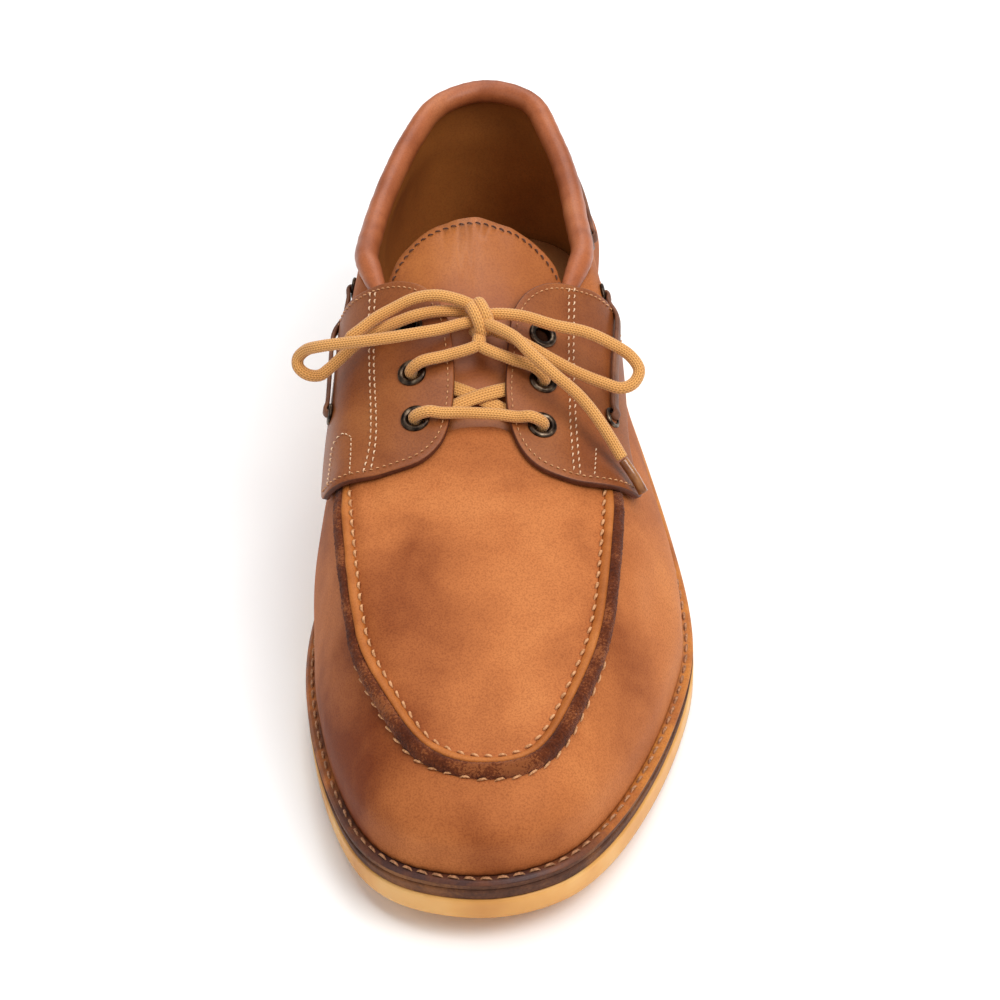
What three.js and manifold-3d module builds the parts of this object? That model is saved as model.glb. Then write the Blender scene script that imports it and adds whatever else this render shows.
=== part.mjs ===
// A left boat shoe in full-grain leather on a welted gum sole, empty and laced.
// Millimetres, +Z up. The floor is z = 0, the toe points to -Y and the lateral side is +X.
import * as THREE from 'three';
import { mergeVertices } from 'three/addons/utils/BufferGeometryUtils.js';
import Module from 'manifold-3d';

const wasm = await Module();
wasm.setup();

// Driving dimensions of the last and the sole.
const LENGTH = 300; // heel back to toe tip, over the welt
const BALL_WIDTH = 115; // widest across the welt
const HEEL_SEAT = 25; // floor to the top of the welt at the heel
const TOE_SPRING = 8.5; // how far the toe tip lifts off the floor
const ARCH_LIFT = 4; // how far the waist lifts off the floor
const GUM = 9; // rubber under the forefoot
const MIDSOLE = 3.6;
const WELT = 2.6;
const WELT_SHELF = 3.2; // how far the welt shows outside the upper
const WELT_WIDTH = 11; // the whole strip, most of it under the upper
const HEEL_RISE = 58; // top of the welt to the rim of the upper at the heel
const INSTEP_RISE = 75; // top of the welt to the top of the lace tabs
const WALL = 1.8; // vamp leather and its lining
const GAP = 0.3; // between pieces that touch
const EDGE = 0.9; // eased edges of the sole
const FACET = 0.18; // how far a facet may leave the true surface of a cut piece
const INSOLE = 3.4;
const MEDIAL_LIFT = 0.05; // how far the instep rises towards the medial side, as a slope

// The pieces on the upper.
const TAB = 2.4;
const TONGUE = 2.6;
const SEAM_WIDTH = 4.6;
const SEAM_HEIGHT = 2.8;
const ROLL = 8; // thickness of the padded collar
const EYELET_HOLE = 4.8;
const EYELET_FLANGE = 9;
const EYELET_WALL = 0.4;
const EYELET_HEIGHT = 0.9; // how far a flange stands off the leather
const SIDE_EYELET_HOLE = 4.2;
const SIDE_EYELET_FLANGE = 6.8;
const THONG_WIDTH = 3.2;
const THONG = 2;
const LACE = 3.6;
const LACE_FLAT = 1.5; // the lace where it is pressed flat under the tabs
const AGLET = 3;

const HALF = BALL_WIDTH / 2;
const FOREFOOT = GUM + MIDSOLE + WELT;

function table(names, rows) {
  const keys = names.split(' ');
  return rows.map((row) => Object.fromEntries(keys.map((key, i) => [key, row[i]])));
}

// The last is described at 14 stations from the heel tip to the toe tip. Places along are shares of
// LENGTH from the heel, half widths and swings shares of HALF, and a positive swing leans lateral.
const SOLE_LINE = table('along half swing', [
  [0, 0, 0.005],
  [0.035, 0.46, 0.005],
  [0.1, 0.63, 0.006],
  [0.18, 0.65, 0.006],
  [0.28, 0.665, 0.035],
  [0.4, 0.75, 0.07],
  [0.5, 0.88, 0.04],
  [0.6, 0.985, 0.01],
  [0.68, 1, -0.005],
  [0.78, 0.91, -0.04],
  [0.87, 0.765, -0.075],
  [0.94, 0.585, -0.1],
  [0.98, 0.37, -0.095],
  [1, 0, -0.065],
]);

// How far the side of the upper bulges past its foot, as shares of HALF, and how high its fullest
// point sits, as a share of the rise at that station. The medial waist bulges most.
const BULGE = table('lateral medial up', [
  [0.04, 0.04, 0.4],
  [0.04, 0.04, 0.4],
  [0.045, 0.045, 0.4],
  [-0.02, 0.055, 0.4],
  [-0.03, 0.1, 0.42],
  [-0.06, 0.14, 0.42],
  [-0.055, 0.07, 0.34],
  [-0.03, 0.02, 0.28],
  [-0.02, -0.02, 0.22],
  [-0.015, -0.01, 0.2],
  [-0.02, -0.02, 0.19],
  [-0.02, -0.02, 0.19],
  [-0.02, -0.02, 0.19],
  [-0.015, -0.015, 0.19],
]);

// The shoulder of the last: the raised seam of the apron in front, the turn of the quarter behind.
const SHOULDER = table('along half up', [
  [0.01, 0, 0.71],
  [0.038, 0.35, 0.7],
  [0.107, 0.495, 0.69],
  [0.187, 0.585, 0.68],
  [0.287, 0.66, 0.66],
  [0.407, 0.715, 0.62],
  [0.513, 0.73, 0.6],
  [0.623, 0.7, 0.64],
  [0.693, 0.67, 0.61],
  [0.773, 0.6, 0.54],
  [0.85, 0.475, 0.445],
  [0.903, 0.34, 0.372],
  [0.928, 0.2, 0.338],
  [0.933, 0, 0.33],
]);

// The rim of the upper: the topline from the heel to the tabs, then down the throat to the plug.
const RIM = table('along half up', [
  [0.015, 0, 1],
  [0.04, 0.29, 0.99],
  [0.093, 0.42, 0.955],
  [0.173, 0.53, 0.93],
  [0.267, 0.595, 0.91],
  [0.34, 0.61, 0.885],
  [0.39, 0.5, 0.86],
  [0.453, 0.426, 0.845],
  [0.52, 0.43, 0.785],
  [0.57, 0.39, 0.765],
  [0.568, 0.25, 0.785],
  [0.56, 0.13, 0.802],
  [0.558, 0.06, 0.807],
  [0.558, 0, 0.808],
]);

// The line across the instep at the top of the tabs, for the stations from the tabs forward.
const TOP_START = 7;
const TOP = table('along half up', [
  [0.39, 0.383, 0.93],
  [0.4, 0.296, 0.957],
  [0.405, 0.21, 0.975],
  [0.407, 0.139, 0.985],
  [0.407, 0.087, 0.99],
  [0.407, 0.042, 0.993],
  [0.407, 0, 0.994],
]);

// Which rise each station follows (0 the heel's, 1 the instep's), the swing of all that lies above
// the bulge, and how far the leather bows out, in mm, halfway from the shoulder to the rim.
const FORM = table('instep swing bow', [
  [0, 0.01, 1],
  [0, 0.01, 1],
  [0, -0.01, 1],
  [0, -0.03, 1],
  [0.2, -0.05, 1.2],
  [0.6, -0.05, 1.2],
  [1, -0.06, -1.5],
  [1, -0.06, -3],
  [1, -0.06, -1],
  [1, -0.06, 0.3],
  [1, -0.055, 0.6],
  [1, -0.05, 0.6],
  [1, -0.03, 0.6],
  [1, -0.01, 0.6],
]);

const STATIONS = SOLE_LINE.length;
const LAST_STATION = STATIONS - 1;
const RIBS_A_STATION = 3;
const RIBS = 2 * LAST_STATION * RIBS_A_STATION;

function smoothstep(a, b, x) {
  const t = THREE.MathUtils.clamp((x - a) / (b - a), 0, 1);
  return t * t * (3 - 2 * t);
}

function yAt(along) {
  return LENGTH / 2 - along * LENGTH;
}

function alongAt(y) {
  return 0.5 - y / LENGTH;
}

// The underside: a flat heel, a breast, a lifted waist, a flat tread and the toe spring.
const SPRING_START = 0.68;
const HEEL_BREAST = 0.265;
const HEEL_RAMP = 0.02;
const WAIST_END = 0.53;
const WAIST_BLEND = 0.12;

function springAt(along) {
  const t = Math.max(0, (along - SPRING_START) / (1 - SPRING_START));
  return TOE_SPRING * t ** 1.7;
}

function undersideAt(along) {
  const arch = smoothstep(HEEL_BREAST, HEEL_BREAST + HEEL_RAMP, along)
    * (1 - smoothstep(WAIST_END - WAIST_BLEND, WAIST_END, along));
  return ARCH_LIFT * arch + springAt(along);
}

function weltTopAt(along) {
  const heel = 1 - smoothstep(0.28, 0.66, along);
  return FOREFOOT + (HEEL_SEAT - FOREFOOT) * heel + springAt(along);
}

// A closed line through a point for every station: heel tip, lateral side, toe tip, medial side.
function roundLine(pointAt) {
  const points = [];
  for (let i = 0; i <= LAST_STATION; i++) points.push(pointAt(i, 1));
  for (let i = LAST_STATION - 1; i > 0; i--) points.push(pointAt(i, -1));
  return new THREE.CatmullRomCurve3(points, true, 'centripetal');
}

function ribPoints(line) {
  return Array.from({ length: RIBS }, (_, k) => line.getPoint(k / RIBS));
}

function lastPoint(row, station, side) {
  const form = FORM[station];
  const rise = THREE.MathUtils.lerp(HEEL_RISE, INSTEP_RISE, form.instep);
  const x = (form.swing + side * row.half) * HALF;
  const tilt = -MEDIAL_LIFT * side * row.half * HALF * form.instep;
  return new THREE.Vector3(x, yAt(row.along), weltTopAt(row.along) + row.up * rise + tilt);
}

const soleLine = roundLine((i, side) => {
  const row = SOLE_LINE[i];
  return new THREE.Vector3((row.swing + side * row.half) * HALF, yAt(row.along), 0);
});
const outline = ribPoints(soleLine);

// Outward normals of a closed level line that runs heel, lateral, toe, medial.
function outwards(points) {
  const n = points.length;
  return points.map((_, i) => {
    const ahead = points[(i + 1) % n].clone().sub(points[(i + n - 1) % n]);
    return new THREE.Vector3(-ahead.y, ahead.x, 0).normalize();
  });
}

const outward = outwards(outline);

function inset(distance) {
  return outline.map((p, i) => p.clone().addScaledVector(outward[i], -distance));
}

// The form of the upper: each rib climbs from the welt over the bulge, the shoulder and the rim to
// the top of the tabs, and on to where the tongue ends.
const TONGUE_RISE = 27;
const TOP_STEP = 6; // how far the form runs past the rim behind the tabs
const LEVELS = [3, 2, 2, 2, 3, 2]; // steps from foot to bulge, shoulder, middle, rim, top, tongue
const RIM_LEVEL = LEVELS[0] + LEVELS[1] + LEVELS[2] + LEVELS[3];
const SHOULDER_LEVEL = LEVELS[0] + LEVELS[1];

const foot = inset(WELT_SHELF).map((p) => p.setZ(weltTopAt(alongAt(p.y))));
const bulgeOut = roundLine((i, side) => {
  const out = (side > 0 ? BULGE[i].lateral : BULGE[i].medial) * HALF;
  const rise = THREE.MathUtils.lerp(HEEL_RISE, INSTEP_RISE, FORM[i].instep);
  return new THREE.Vector3(out, 0, BULGE[i].up * rise);
});
const bulge = ribPoints(bulgeOut).map((b, k) => {
  const p = foot[k].clone().addScaledVector(outward[k], b.x);
  return p.setZ(foot[k].z + b.z);
});

function stationLines() {
  const shoulder = (i, side) => lastPoint(SHOULDER[i], i, side);
  const rim = (i, side) => lastPoint(RIM[i], i, side);
  const middle = (i, side) => {
    const a = shoulder(i, side);
    const b = rim(i, side);
    const run = b.clone().sub(a).normalize();
    const around = new THREE.Vector3(a.x, a.y * (i === 0 ? 1 : 0), 0).normalize();
    const out = new THREE.Vector3(0, 0, 1).add(around.multiplyScalar(0.8));
    out.addScaledVector(run, -out.dot(run)).normalize();
    return a.lerp(b, 0.5).addScaledVector(out, FORM[i].bow);
  };
  const top = (i, side) => {
    if (i >= TOP_START) return lastPoint(TOP[i - TOP_START], i, side);
    const b = rim(i, side);
    return b.clone().addScaledVector(b.clone().sub(middle(i, side)).normalize(), TOP_STEP);
  };
  const end = (i, side) => {
    const b = top(i, side);
    return b.clone().addScaledVector(b.clone().sub(rim(i, side)).normalize(), TONGUE_RISE);
  };
  return [shoulder, middle, rim, top, end].map((pointAt) => ribPoints(roundLine(pointAt)));
}

const lines = [foot, bulge, ...stationLines()];

// The grid of the form: one column of points for each rib, from the foot up.
function formGrid() {
  const grid = [];
  for (let k = 0; k < RIBS; k++) {
    const rib = new THREE.CatmullRomCurve3(lines.map((line) => line[k]), false, 'centripetal');
    const column = [];
    LEVELS.forEach((steps, segment) => {
      for (let j = 0; j < steps; j++) column.push(rib.getPoint((segment + j / steps) / LEVELS.length));
    });
    column.push(rib.getPoint(1));
    grid.push(column);
  }
  return grid;
}

const form = formGrid();
const formNormals = form.map((column, k) => column.map((_, j) => {
  const up = column[Math.min(j + 1, column.length - 1)].clone().sub(column[Math.max(j - 1, 0)]);
  const around = form[(k + 1) % RIBS][j].clone().sub(form[(k + RIBS - 1) % RIBS][j]);
  return up.cross(around).normalize();
}));

// A point of the form moved out along its normal. The foot moves level, so that it stays seated.
function formPoint(k, j, offset) {
  const p = form[k][j].clone();
  const n = j === 0 ? outward[k] : formNormals[k][j];
  return p.addScaledVector(n, offset);
}

function geometryOf(points, faces) {
  const geometry = new THREE.BufferGeometry();
  geometry.setAttribute('position', new THREE.Float32BufferAttribute(points.flatMap((p) => [p.x, p.y, p.z]), 3));
  geometry.setIndex(faces.flat());
  return geometry;
}

// A solid ring: one closed loop of points for each rib, up its outside and down its inside.
function ringSolid(loops) {
  const n = loops.length;
  const m = loops[0].length;
  const faces = [];
  for (let i = 0; i < n; i++) {
    for (let j = 0; j < m; j++) {
      const a = i * m + j;
      const b = ((i + 1) % n) * m + j;
      const c = ((i + 1) % n) * m + ((j + 1) % m);
      const d = i * m + ((j + 1) % m);
      faces.push([a, c, b], [a, d, c]);
    }
  }
  return geometryOf(loops.flat(), faces);
}

// A stack of level rings that run heel, lateral, toe, medial, closed below and above by strips
// that cross from the lateral to the medial side.
function stackSolid(rings) {
  const n = rings[0].length;
  const faces = [];
  for (let j = 0; j < rings.length - 1; j++) {
    for (let i = 0; i < n; i++) {
      const a = j * n + i;
      const b = j * n + ((i + 1) % n);
      faces.push([a, b + n, b], [a, a + n, b + n]);
    }
  }
  const top = (rings.length - 1) * n;
  for (let i = 0; i < n / 2; i++) {
    const quad = [i, i + 1, n - i - 1, (n - i) % n];
    const [a, b, c, d] = quad;
    if (i > 0) {
      faces.push([a, b, d]);
      faces.push([top + a, top + d, top + b]);
    }
    if (i < n / 2 - 1) {
      faces.push([b, c, d]);
      faces.push([top + b, top + d, top + c]);
    }
  }
  return geometryOf(rings.flat(), faces);
}

function weltedRing(distance, heightAt) {
  return inset(distance).map((p) => p.setZ(heightAt(alongAt(p.y))));
}

function outsole() {
  const top = (a) => weltTopAt(a) - WELT - MIDSOLE - 2 * GAP;
  return stackSolid([
    weltedRing(2 * EDGE, undersideAt),
    weltedRing(EDGE / 4, (a) => undersideAt(a) + 1.5 * EDGE),
    weltedRing(0, (a) => top(a) - EDGE / 2),
    weltedRing(EDGE / 2, top),
  ]);
}

function midsole() {
  const top = (a) => weltTopAt(a) - WELT - GAP;
  return stackSolid([
    weltedRing(EDGE / 2, (a) => top(a) - MIDSOLE),
    weltedRing(0, (a) => top(a) - EDGE / 2),
    weltedRing(EDGE / 2, top),
  ]);
}

function welt() {
  const section = [
    [WELT_WIDTH, 0],
    [WELT_WIDTH, -WELT],
    [EDGE / 3, -WELT],
    [0, -EDGE],
    [EDGE, 0],
  ];
  const rings = section.map(([distance, drop]) => weltedRing(distance, (a) => weltTopAt(a) + drop));
  return ringSolid(outline.map((_, k) => rings.map((ring) => ring[k])));
}

function insole() {
  const edge = WELT_SHELF + WALL + 2 * GAP;
  return stackSolid([
    weltedRing(edge, (a) => weltTopAt(a) + GAP),
    weltedRing(edge + EDGE / 2, (a) => weltTopAt(a) + GAP + INSOLE),
  ]);
}

function upper() {
  const loops = form.map((_, k) => {
    const outer = [];
    const inner = [];
    for (let j = 0; j <= RIM_LEVEL; j++) {
      outer.push(formPoint(k, j, 0));
      if (j % 2 === 0 || j >= SHOULDER_LEVEL) inner.unshift(formPoint(k, j, -WALL));
    }
    outer[0].z += GAP;
    inner[inner.length - 1].z += GAP;
    return [...outer, ...inner];
  });
  return ringSolid(loops);
}

// The form as a closed solid, moved out along its normals, for cutting pieces that lie on it.
function formSolid(offset, step = 1) {
  const ribs = form.map((_, k) => k).filter((k) => k % step === 0);
  return toSolid(stackSolid(form[0].map((_, j) => ribs.map((k) => formPoint(k, j, offset)))));
}

function toSolid(geometry) {
  const bare = geometry.clone();
  bare.deleteAttribute('normal');
  bare.deleteAttribute('uv');
  const merged = mergeVertices(bare, 1e-4);
  const vertProperties = new Float32Array(merged.attributes.position.array);
  const triVerts = new Uint32Array(merged.index.array);
  return new wasm.Manifold(new wasm.Mesh({ numProp: 3, vertProperties, triVerts }));
}

function toGeometry(solid) {
  const mesh = solid.getMesh();
  const geometry = new THREE.BufferGeometry();
  geometry.setAttribute('position', new THREE.BufferAttribute(new Float32Array(mesh.vertProperties), 3));
  geometry.setIndex(new THREE.BufferAttribute(new Uint32Array(mesh.triVerts), 1));
  return geometry;
}

// Places on the form: where a line from outside first meets it, moved out along the normal there.
const surface = new THREE.Mesh(
  stackSolid(form[0].map((_, j) => form.map((column) => column[j]))),
  new THREE.MeshBasicMaterial({ side: THREE.DoubleSide }),
);
surface.geometry.computeVertexNormals();

function onForm(origin, direction, offset) {
  const ray = new THREE.Raycaster(origin, direction.clone().normalize());
  const hit = ray.intersectObject(surface)[0];
  const normal = hit.normal.clone();
  return { point: hit.point.clone().addScaledVector(normal, offset), normal };
}

function fromAbove(half, along, offset) {
  const origin = new THREE.Vector3(half * HALF, yAt(along), HEEL_SEAT + 2 * INSTEP_RISE);
  return onForm(origin, new THREE.Vector3(0, 0, -1), offset);
}

function fromSide(side, along, up, offset) {
  const origin = new THREE.Vector3(side * BALL_WIDTH, yAt(along), HEEL_SEAT + up * HEEL_RISE);
  return onForm(origin, new THREE.Vector3(-side, 0, 0), offset);
}

// A solid swept along stations of { point, normal }: section points are [across, out] pairs.
function sweepSolid(stations, section, closeEnds = 1) {
  const rings = stations.map(({ point, normal }, i) => {
    const ahead = stations[Math.min(i + 1, stations.length - 1)].point;
    const behind = stations[Math.max(i - 1, 0)].point;
    const along = ahead.clone().sub(behind).normalize();
    const across = new THREE.Vector3().crossVectors(along, normal).normalize();
    const out = new THREE.Vector3().crossVectors(across, along).normalize();
    const end = i === 0 || i === stations.length - 1;
    const scale = end ? closeEnds : 1;
    return section.map(([a, b]) => point.clone()
      .addScaledVector(across, a * scale)
      .addScaledVector(out, b * scale));
  });
  const n = section.length;
  const faces = [];
  for (let i = 0; i < rings.length - 1; i++) {
    for (let j = 0; j < n; j++) {
      const a = i * n + j;
      const b = i * n + ((j + 1) % n);
      faces.push([a, b + n, b], [a, a + n, b + n]);
    }
  }
  const last = (rings.length - 1) * n;
  for (let j = 1; j < n - 1; j++) faces.push([0, j, j + 1], [last, last + j + 1, last + j]);
  return geometryOf(rings.flat(), faces);
}

function ovalSection(width, height, sides) {
  return Array.from({ length: sides }, (_, i) => {
    const turn = (2 * Math.PI * (i + 0.5)) / sides;
    return [(width / 2) * Math.cos(turn), (height / 2) * Math.sin(turn)];
  });
}

// The raised seam of the apron: a strip of cut leather that stands on the shoulder of the form.
const SEAM_FROM = 6.95; // station where the seam comes out from under a tab
const SEAM_STEPS = 38;

function apronSeam() {
  const lineOf = (pointAt) => new THREE.CatmullRomCurve3(form.map((_, k) => pointAt(k)), true);
  const base = lineOf((k) => formPoint(k, SHOULDER_LEVEL, GAP));
  const above = lineOf((k) => formPoint(k, SHOULDER_LEVEL, GAP + 1));
  const from = SEAM_FROM / (2 * LAST_STATION);
  const stations = Array.from({ length: SEAM_STEPS + 1 }, (_, i) => {
    const t = THREE.MathUtils.lerp(from, 1 - from, i / SEAM_STEPS);
    const point = base.getPoint(t);
    return { point, normal: above.getPoint(t).sub(point) };
  });
  const w = SEAM_WIDTH / 2;
  const section = [[-w, 0], [w, 0], [0.9 * w, 0.7 * SEAM_HEIGHT], [0, SEAM_HEIGHT], [-0.9 * w, 0.7 * SEAM_HEIGHT]];
  return sweepSolid(stations, section);
}

// The lace tabs, seen from above: facing, top edge, the side that hangs down and the front edge.
const TAB_PLAN = table('half along', [
  [0.14, 0.5],
  [0.14, 0.553],
  [0.175, 0.588],
  [0.26, 0.608],
  [0.38, 0.614],
  [0.57, 0.612],
  [1.1, 0.57],
  [1.1, 0.36],
  [0.65, 0.372],
  [0.5, 0.386],
  [0.38, 0.4],
  [0.27, 0.422],
  [0.185, 0.45],
]);
const TAB_STRAIGHT = [4, 5, 6, 7]; // corners of the plan outside the shoe, joined by lines
const TAB_LOWER = table('along up', [[0.7, 0.52], [0.56, 0.55], [0.3, 0.67], [0.3, 3], [0.7, 3]]);
const TAB_SHIFT = -0.04;

function prism(points, depth) {
  return new THREE.ExtrudeGeometry(new THREE.Shape(points), { depth, bevelEnabled: false });
}

function planPrism(plan, side, shift) {
  const corners = plan.map((row) => new THREE.Vector2((shift + side * row.half) * HALF, yAt(row.along)));
  if (side < 0) corners.reverse();
  return toSolid(prism(corners, 2 * INSTEP_RISE).translate(0, 0, HEEL_SEAT + 0.2 * INSTEP_RISE));
}

function smoothPlan(plan, straight, steps) {
  const rows = [];
  const curve = new THREE.CatmullRomCurve3(plan.map((r) => new THREE.Vector3(r.half, r.along, 0)), true, 'centripetal');
  plan.forEach((row, i) => {
    const count = straight.includes(i) ? 1 : steps;
    for (let j = 0; j < count; j++) {
      const p = count === 1 ? new THREE.Vector3(row.half, row.along, 0) : curve.getPoint((i + j / steps) / plan.length);
      rows.push({ half: p.x, along: p.y });
    }
  });
  return rows;
}

const EYELET_PLACES = table('half along', [[0.335, 0.55], [0.335, 0.5], [0.33, 0.45]]);
const EYELET_SKEW = 0.004; // the medial row sits this much nearer the heel than the lateral one
const EYELET_SHIFT = -0.05;

function eyeletPlace(side, row) {
  return { half: EYELET_SHIFT + side * row.half, along: row.along + side * EYELET_SKEW };
}

function eyeletSeat(side, row, offset) {
  const place = eyeletPlace(side, row);
  return fromAbove(place.half, place.along, offset);
}

function turned(geometry, { point, normal }) {
  const turn = new THREE.Quaternion().setFromUnitVectors(new THREE.Vector3(0, 0, 1), normal);
  geometry.applyQuaternion(turn);
  geometry.translate(point.x, point.y, point.z);
  return geometry;
}

const TAB_BOTTOM = GAP;
const TAB_TOP = GAP + TAB;

function tab(side) {
  const plan = planPrism(smoothPlan(TAB_PLAN, TAB_STRAIGHT, 2), side, TAB_SHIFT);
  const lower = TAB_LOWER.map((row) => new THREE.Vector2(yAt(row.along), HEEL_SEAT + row.up * HEEL_RISE));
  const hang = prism(lower, 2 * BALL_WIDTH);
  hang.applyMatrix4(new THREE.Matrix4().makeBasis(
    new THREE.Vector3(0, 1, 0),
    new THREE.Vector3(0, 0, 1),
    new THREE.Vector3(1, 0, 0),
  ));
  hang.translate(-BALL_WIDTH, 0, 0);
  let solid = formSolid(TAB_TOP).subtract(formSolid(TAB_BOTTOM)).intersect(plan).intersect(toSolid(hang));
  for (const row of EYELET_PLACES) {
    const radius = EYELET_HOLE / 2 + EYELET_WALL + 1.5 * GAP;
    const hole = new THREE.CylinderGeometry(radius, radius, 6 * TAB, 10).rotateX(Math.PI / 2);
    solid = solid.subtract(toSolid(turned(hole, eyeletSeat(side, row, TAB_TOP))));
  }
  return toGeometry(solid.simplify(FACET));
}

// The tongue lies under the tabs and the end of the plug.
const TONGUE_TOP = -WALL - 2 * GAP;
const TONGUE_PLAN = table('half along', [
  [0, 0.332],
  [0.2, 0.337],
  [0.365, 0.35],
  [0.465, 0.375],
  [0.505, 0.405],
  [0.49, 0.44],
  [0.43, 0.52],
  [0.37, 0.6],
  [0.3, 0.62],
  [0, 0.625],
]);

function tongue() {
  const lateral = TONGUE_PLAN;
  const medial = TONGUE_PLAN.slice(1, -1).reverse().map((row) => ({ half: -row.half, along: row.along }));
  const plan = planPrism(smoothPlan([...lateral, ...medial], [], 2), 1, TAB_SHIFT);
  const above = formSolid(TONGUE_TOP, RIBS_A_STATION);
  const below = formSolid(TONGUE_TOP - TONGUE, RIBS_A_STATION);
  return toGeometry(above.subtract(below).intersect(plan).simplify(FACET));
}

// The padded roll of the collar, which stands on the rim from tab to tab round the heel.
const ROLL_RIBS = 17; // on each side of the heel
const ROLL_SIDES = 8;

function collar() {
  const apothem = (ROLL / 2) * Math.cos(Math.PI / ROLL_SIDES);
  const seat = (k) => formPoint((k + RIBS) % RIBS, RIM_LEVEL, -WALL / 2);
  const stations = Array.from({ length: 2 * ROLL_RIBS + 1 }, (_, i) => {
    const k = i - ROLL_RIBS;
    const normal = seat(k + 1).sub(seat(k - 1)).cross(formNormals[(k + RIBS) % RIBS][RIM_LEVEL]).normalize();
    return { point: seat(k).addScaledVector(normal, GAP + apothem), normal };
  });
  return sweepSolid(stations, ovalSection(ROLL, ROLL, ROLL_SIDES), 0.8);
}

function ringGeometry(profile, sides) {
  const geometry = new THREE.LatheGeometry(profile.map(([r, z]) => new THREE.Vector2(r, z)), sides);
  return geometry.rotateX(Math.PI / 2);
}

const EYELET_SEAT = 2 * GAP; // a flat flange on the curved leather

function eyelet(side, row) {
  const bore = EYELET_HOLE / 2;
  const flange = EYELET_FLANGE / 2;
  const profile = [
    [bore, -TAB],
    [bore + EYELET_WALL, -TAB],
    [bore + EYELET_WALL, EYELET_SEAT],
    [flange, EYELET_SEAT],
    [(bore + flange) / 2, EYELET_SEAT + EYELET_HEIGHT],
    [bore, EYELET_SEAT + EYELET_HEIGHT / 2],
    [bore, -TAB],
  ];
  return turned(ringGeometry(profile, 10), eyeletSeat(side, row, TAB_TOP));
}

// The side lace: a flat thong that shows in two runs on each side, each from eyelet to eyelet. The
// front run starts on the tab and ends on the quarter behind it.
const SIDE_RUNS = table('name along up toAlong toUp', [
  ['front', 0.498, 0.7, 0.325, 0.85],
  ['rear', 0.225, 0.83, 0.06, 0.78],
]);
const SIDE_SKEW = 0.015; // the medial runs sit nearer the heel than the lateral ones
const SIDE_SEAT = 3 * GAP;
const TAB_BACK = 0.345; // where the side lace comes off the back of a tab
const TAB_STEP = 0.02;

// A place t of the way along a run, out from the leather that carries it.
function sideSeat(side, run, t, out) {
  const along = THREE.MathUtils.lerp(run.along, run.toAlong, t) + side * SIDE_SKEW;
  const carrier = TAB_TOP * smoothstep(TAB_BACK, TAB_BACK + TAB_STEP, along);
  return fromSide(side, along, THREE.MathUtils.lerp(run.up, run.toUp, t), carrier + out);
}

function sideEyelet(side, run, t) {
  const bore = SIDE_EYELET_HOLE / 2;
  const flange = SIDE_EYELET_FLANGE / 2;
  const profile = [
    [bore, SIDE_SEAT],
    [flange, SIDE_SEAT],
    [flange - EYELET_HEIGHT / 2, SIDE_SEAT + EYELET_HEIGHT],
    [bore, SIDE_SEAT + EYELET_HEIGHT],
    [bore, SIDE_SEAT],
  ];
  return turned(ringGeometry(profile, 8), sideSeat(side, run, t, 0));
}

function sideLace(side, run) {
  const { lerp } = THREE.MathUtils;
  const length = LENGTH * (run.along - run.toAlong);
  const over = SIDE_SEAT + EYELET_HEIGHT + GAP + THONG / 2; // on an eyelet
  const on = 2 * GAP + THONG / 2; // on the leather
  const clear = (SIDE_EYELET_FLANGE / 2 + THONG / 2) / length;
  const rows = [[0, over], [clear, over]];
  const steps = Math.round(length / 12);
  for (let i = 0; i <= steps; i++) rows.push([lerp(2 * clear, 1 - 2 * clear, i / steps), on]);
  rows.push([1 - clear, over], [1, over]);
  const stations = rows.map(([t, out]) => sideSeat(side, run, t, out));
  const w = THONG_WIDTH / 2;
  const h = THONG / 2;
  let solid = toSolid(sweepSolid(stations, [[-w, -h], [w, -h], [w, h], [-w, h]]));
  for (const t of [0, 1]) {
    const end = new THREE.CylinderGeometry(w - GAP, w - GAP, over - GAP, 6).rotateX(Math.PI / 2);
    solid = solid.add(toSolid(turned(end, sideSeat(side, run, t, (over + GAP) / 2))));
  }
  return toGeometry(solid);
}

// The lace is a round braided cord. Its places are shares: half of HALF, along of LENGTH, and up of
// INSTEP_RISE above the welt.
const LACE_SIDES = 8;

function placeAt(row) {
  return new THREE.Vector3(row.half * HALF, yAt(row.along), weltTopAt(row.along) + row.up * INSTEP_RISE);
}

function cordAlong(points, steps, thickness = LACE) {
  const round = ovalSection(thickness, thickness, LACE_SIDES).map(([a, b]) => new THREE.Vector2(a, b));
  const extrudePath = new THREE.CatmullRomCurve3(points, false, 'centripetal');
  return new THREE.ExtrudeGeometry(new THREE.Shape(round), { steps, extrudePath, bevelEnabled: false });
}

// The two risers meet under the front of the knot.
const RISERS_MEET = { half: -0.03, along: 0.495, up: 0.965 };
const KNOT = { half: -0.02, along: 0.462, up: 1 };
const KNOT_SIZE = [8, 13, 8];

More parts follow.
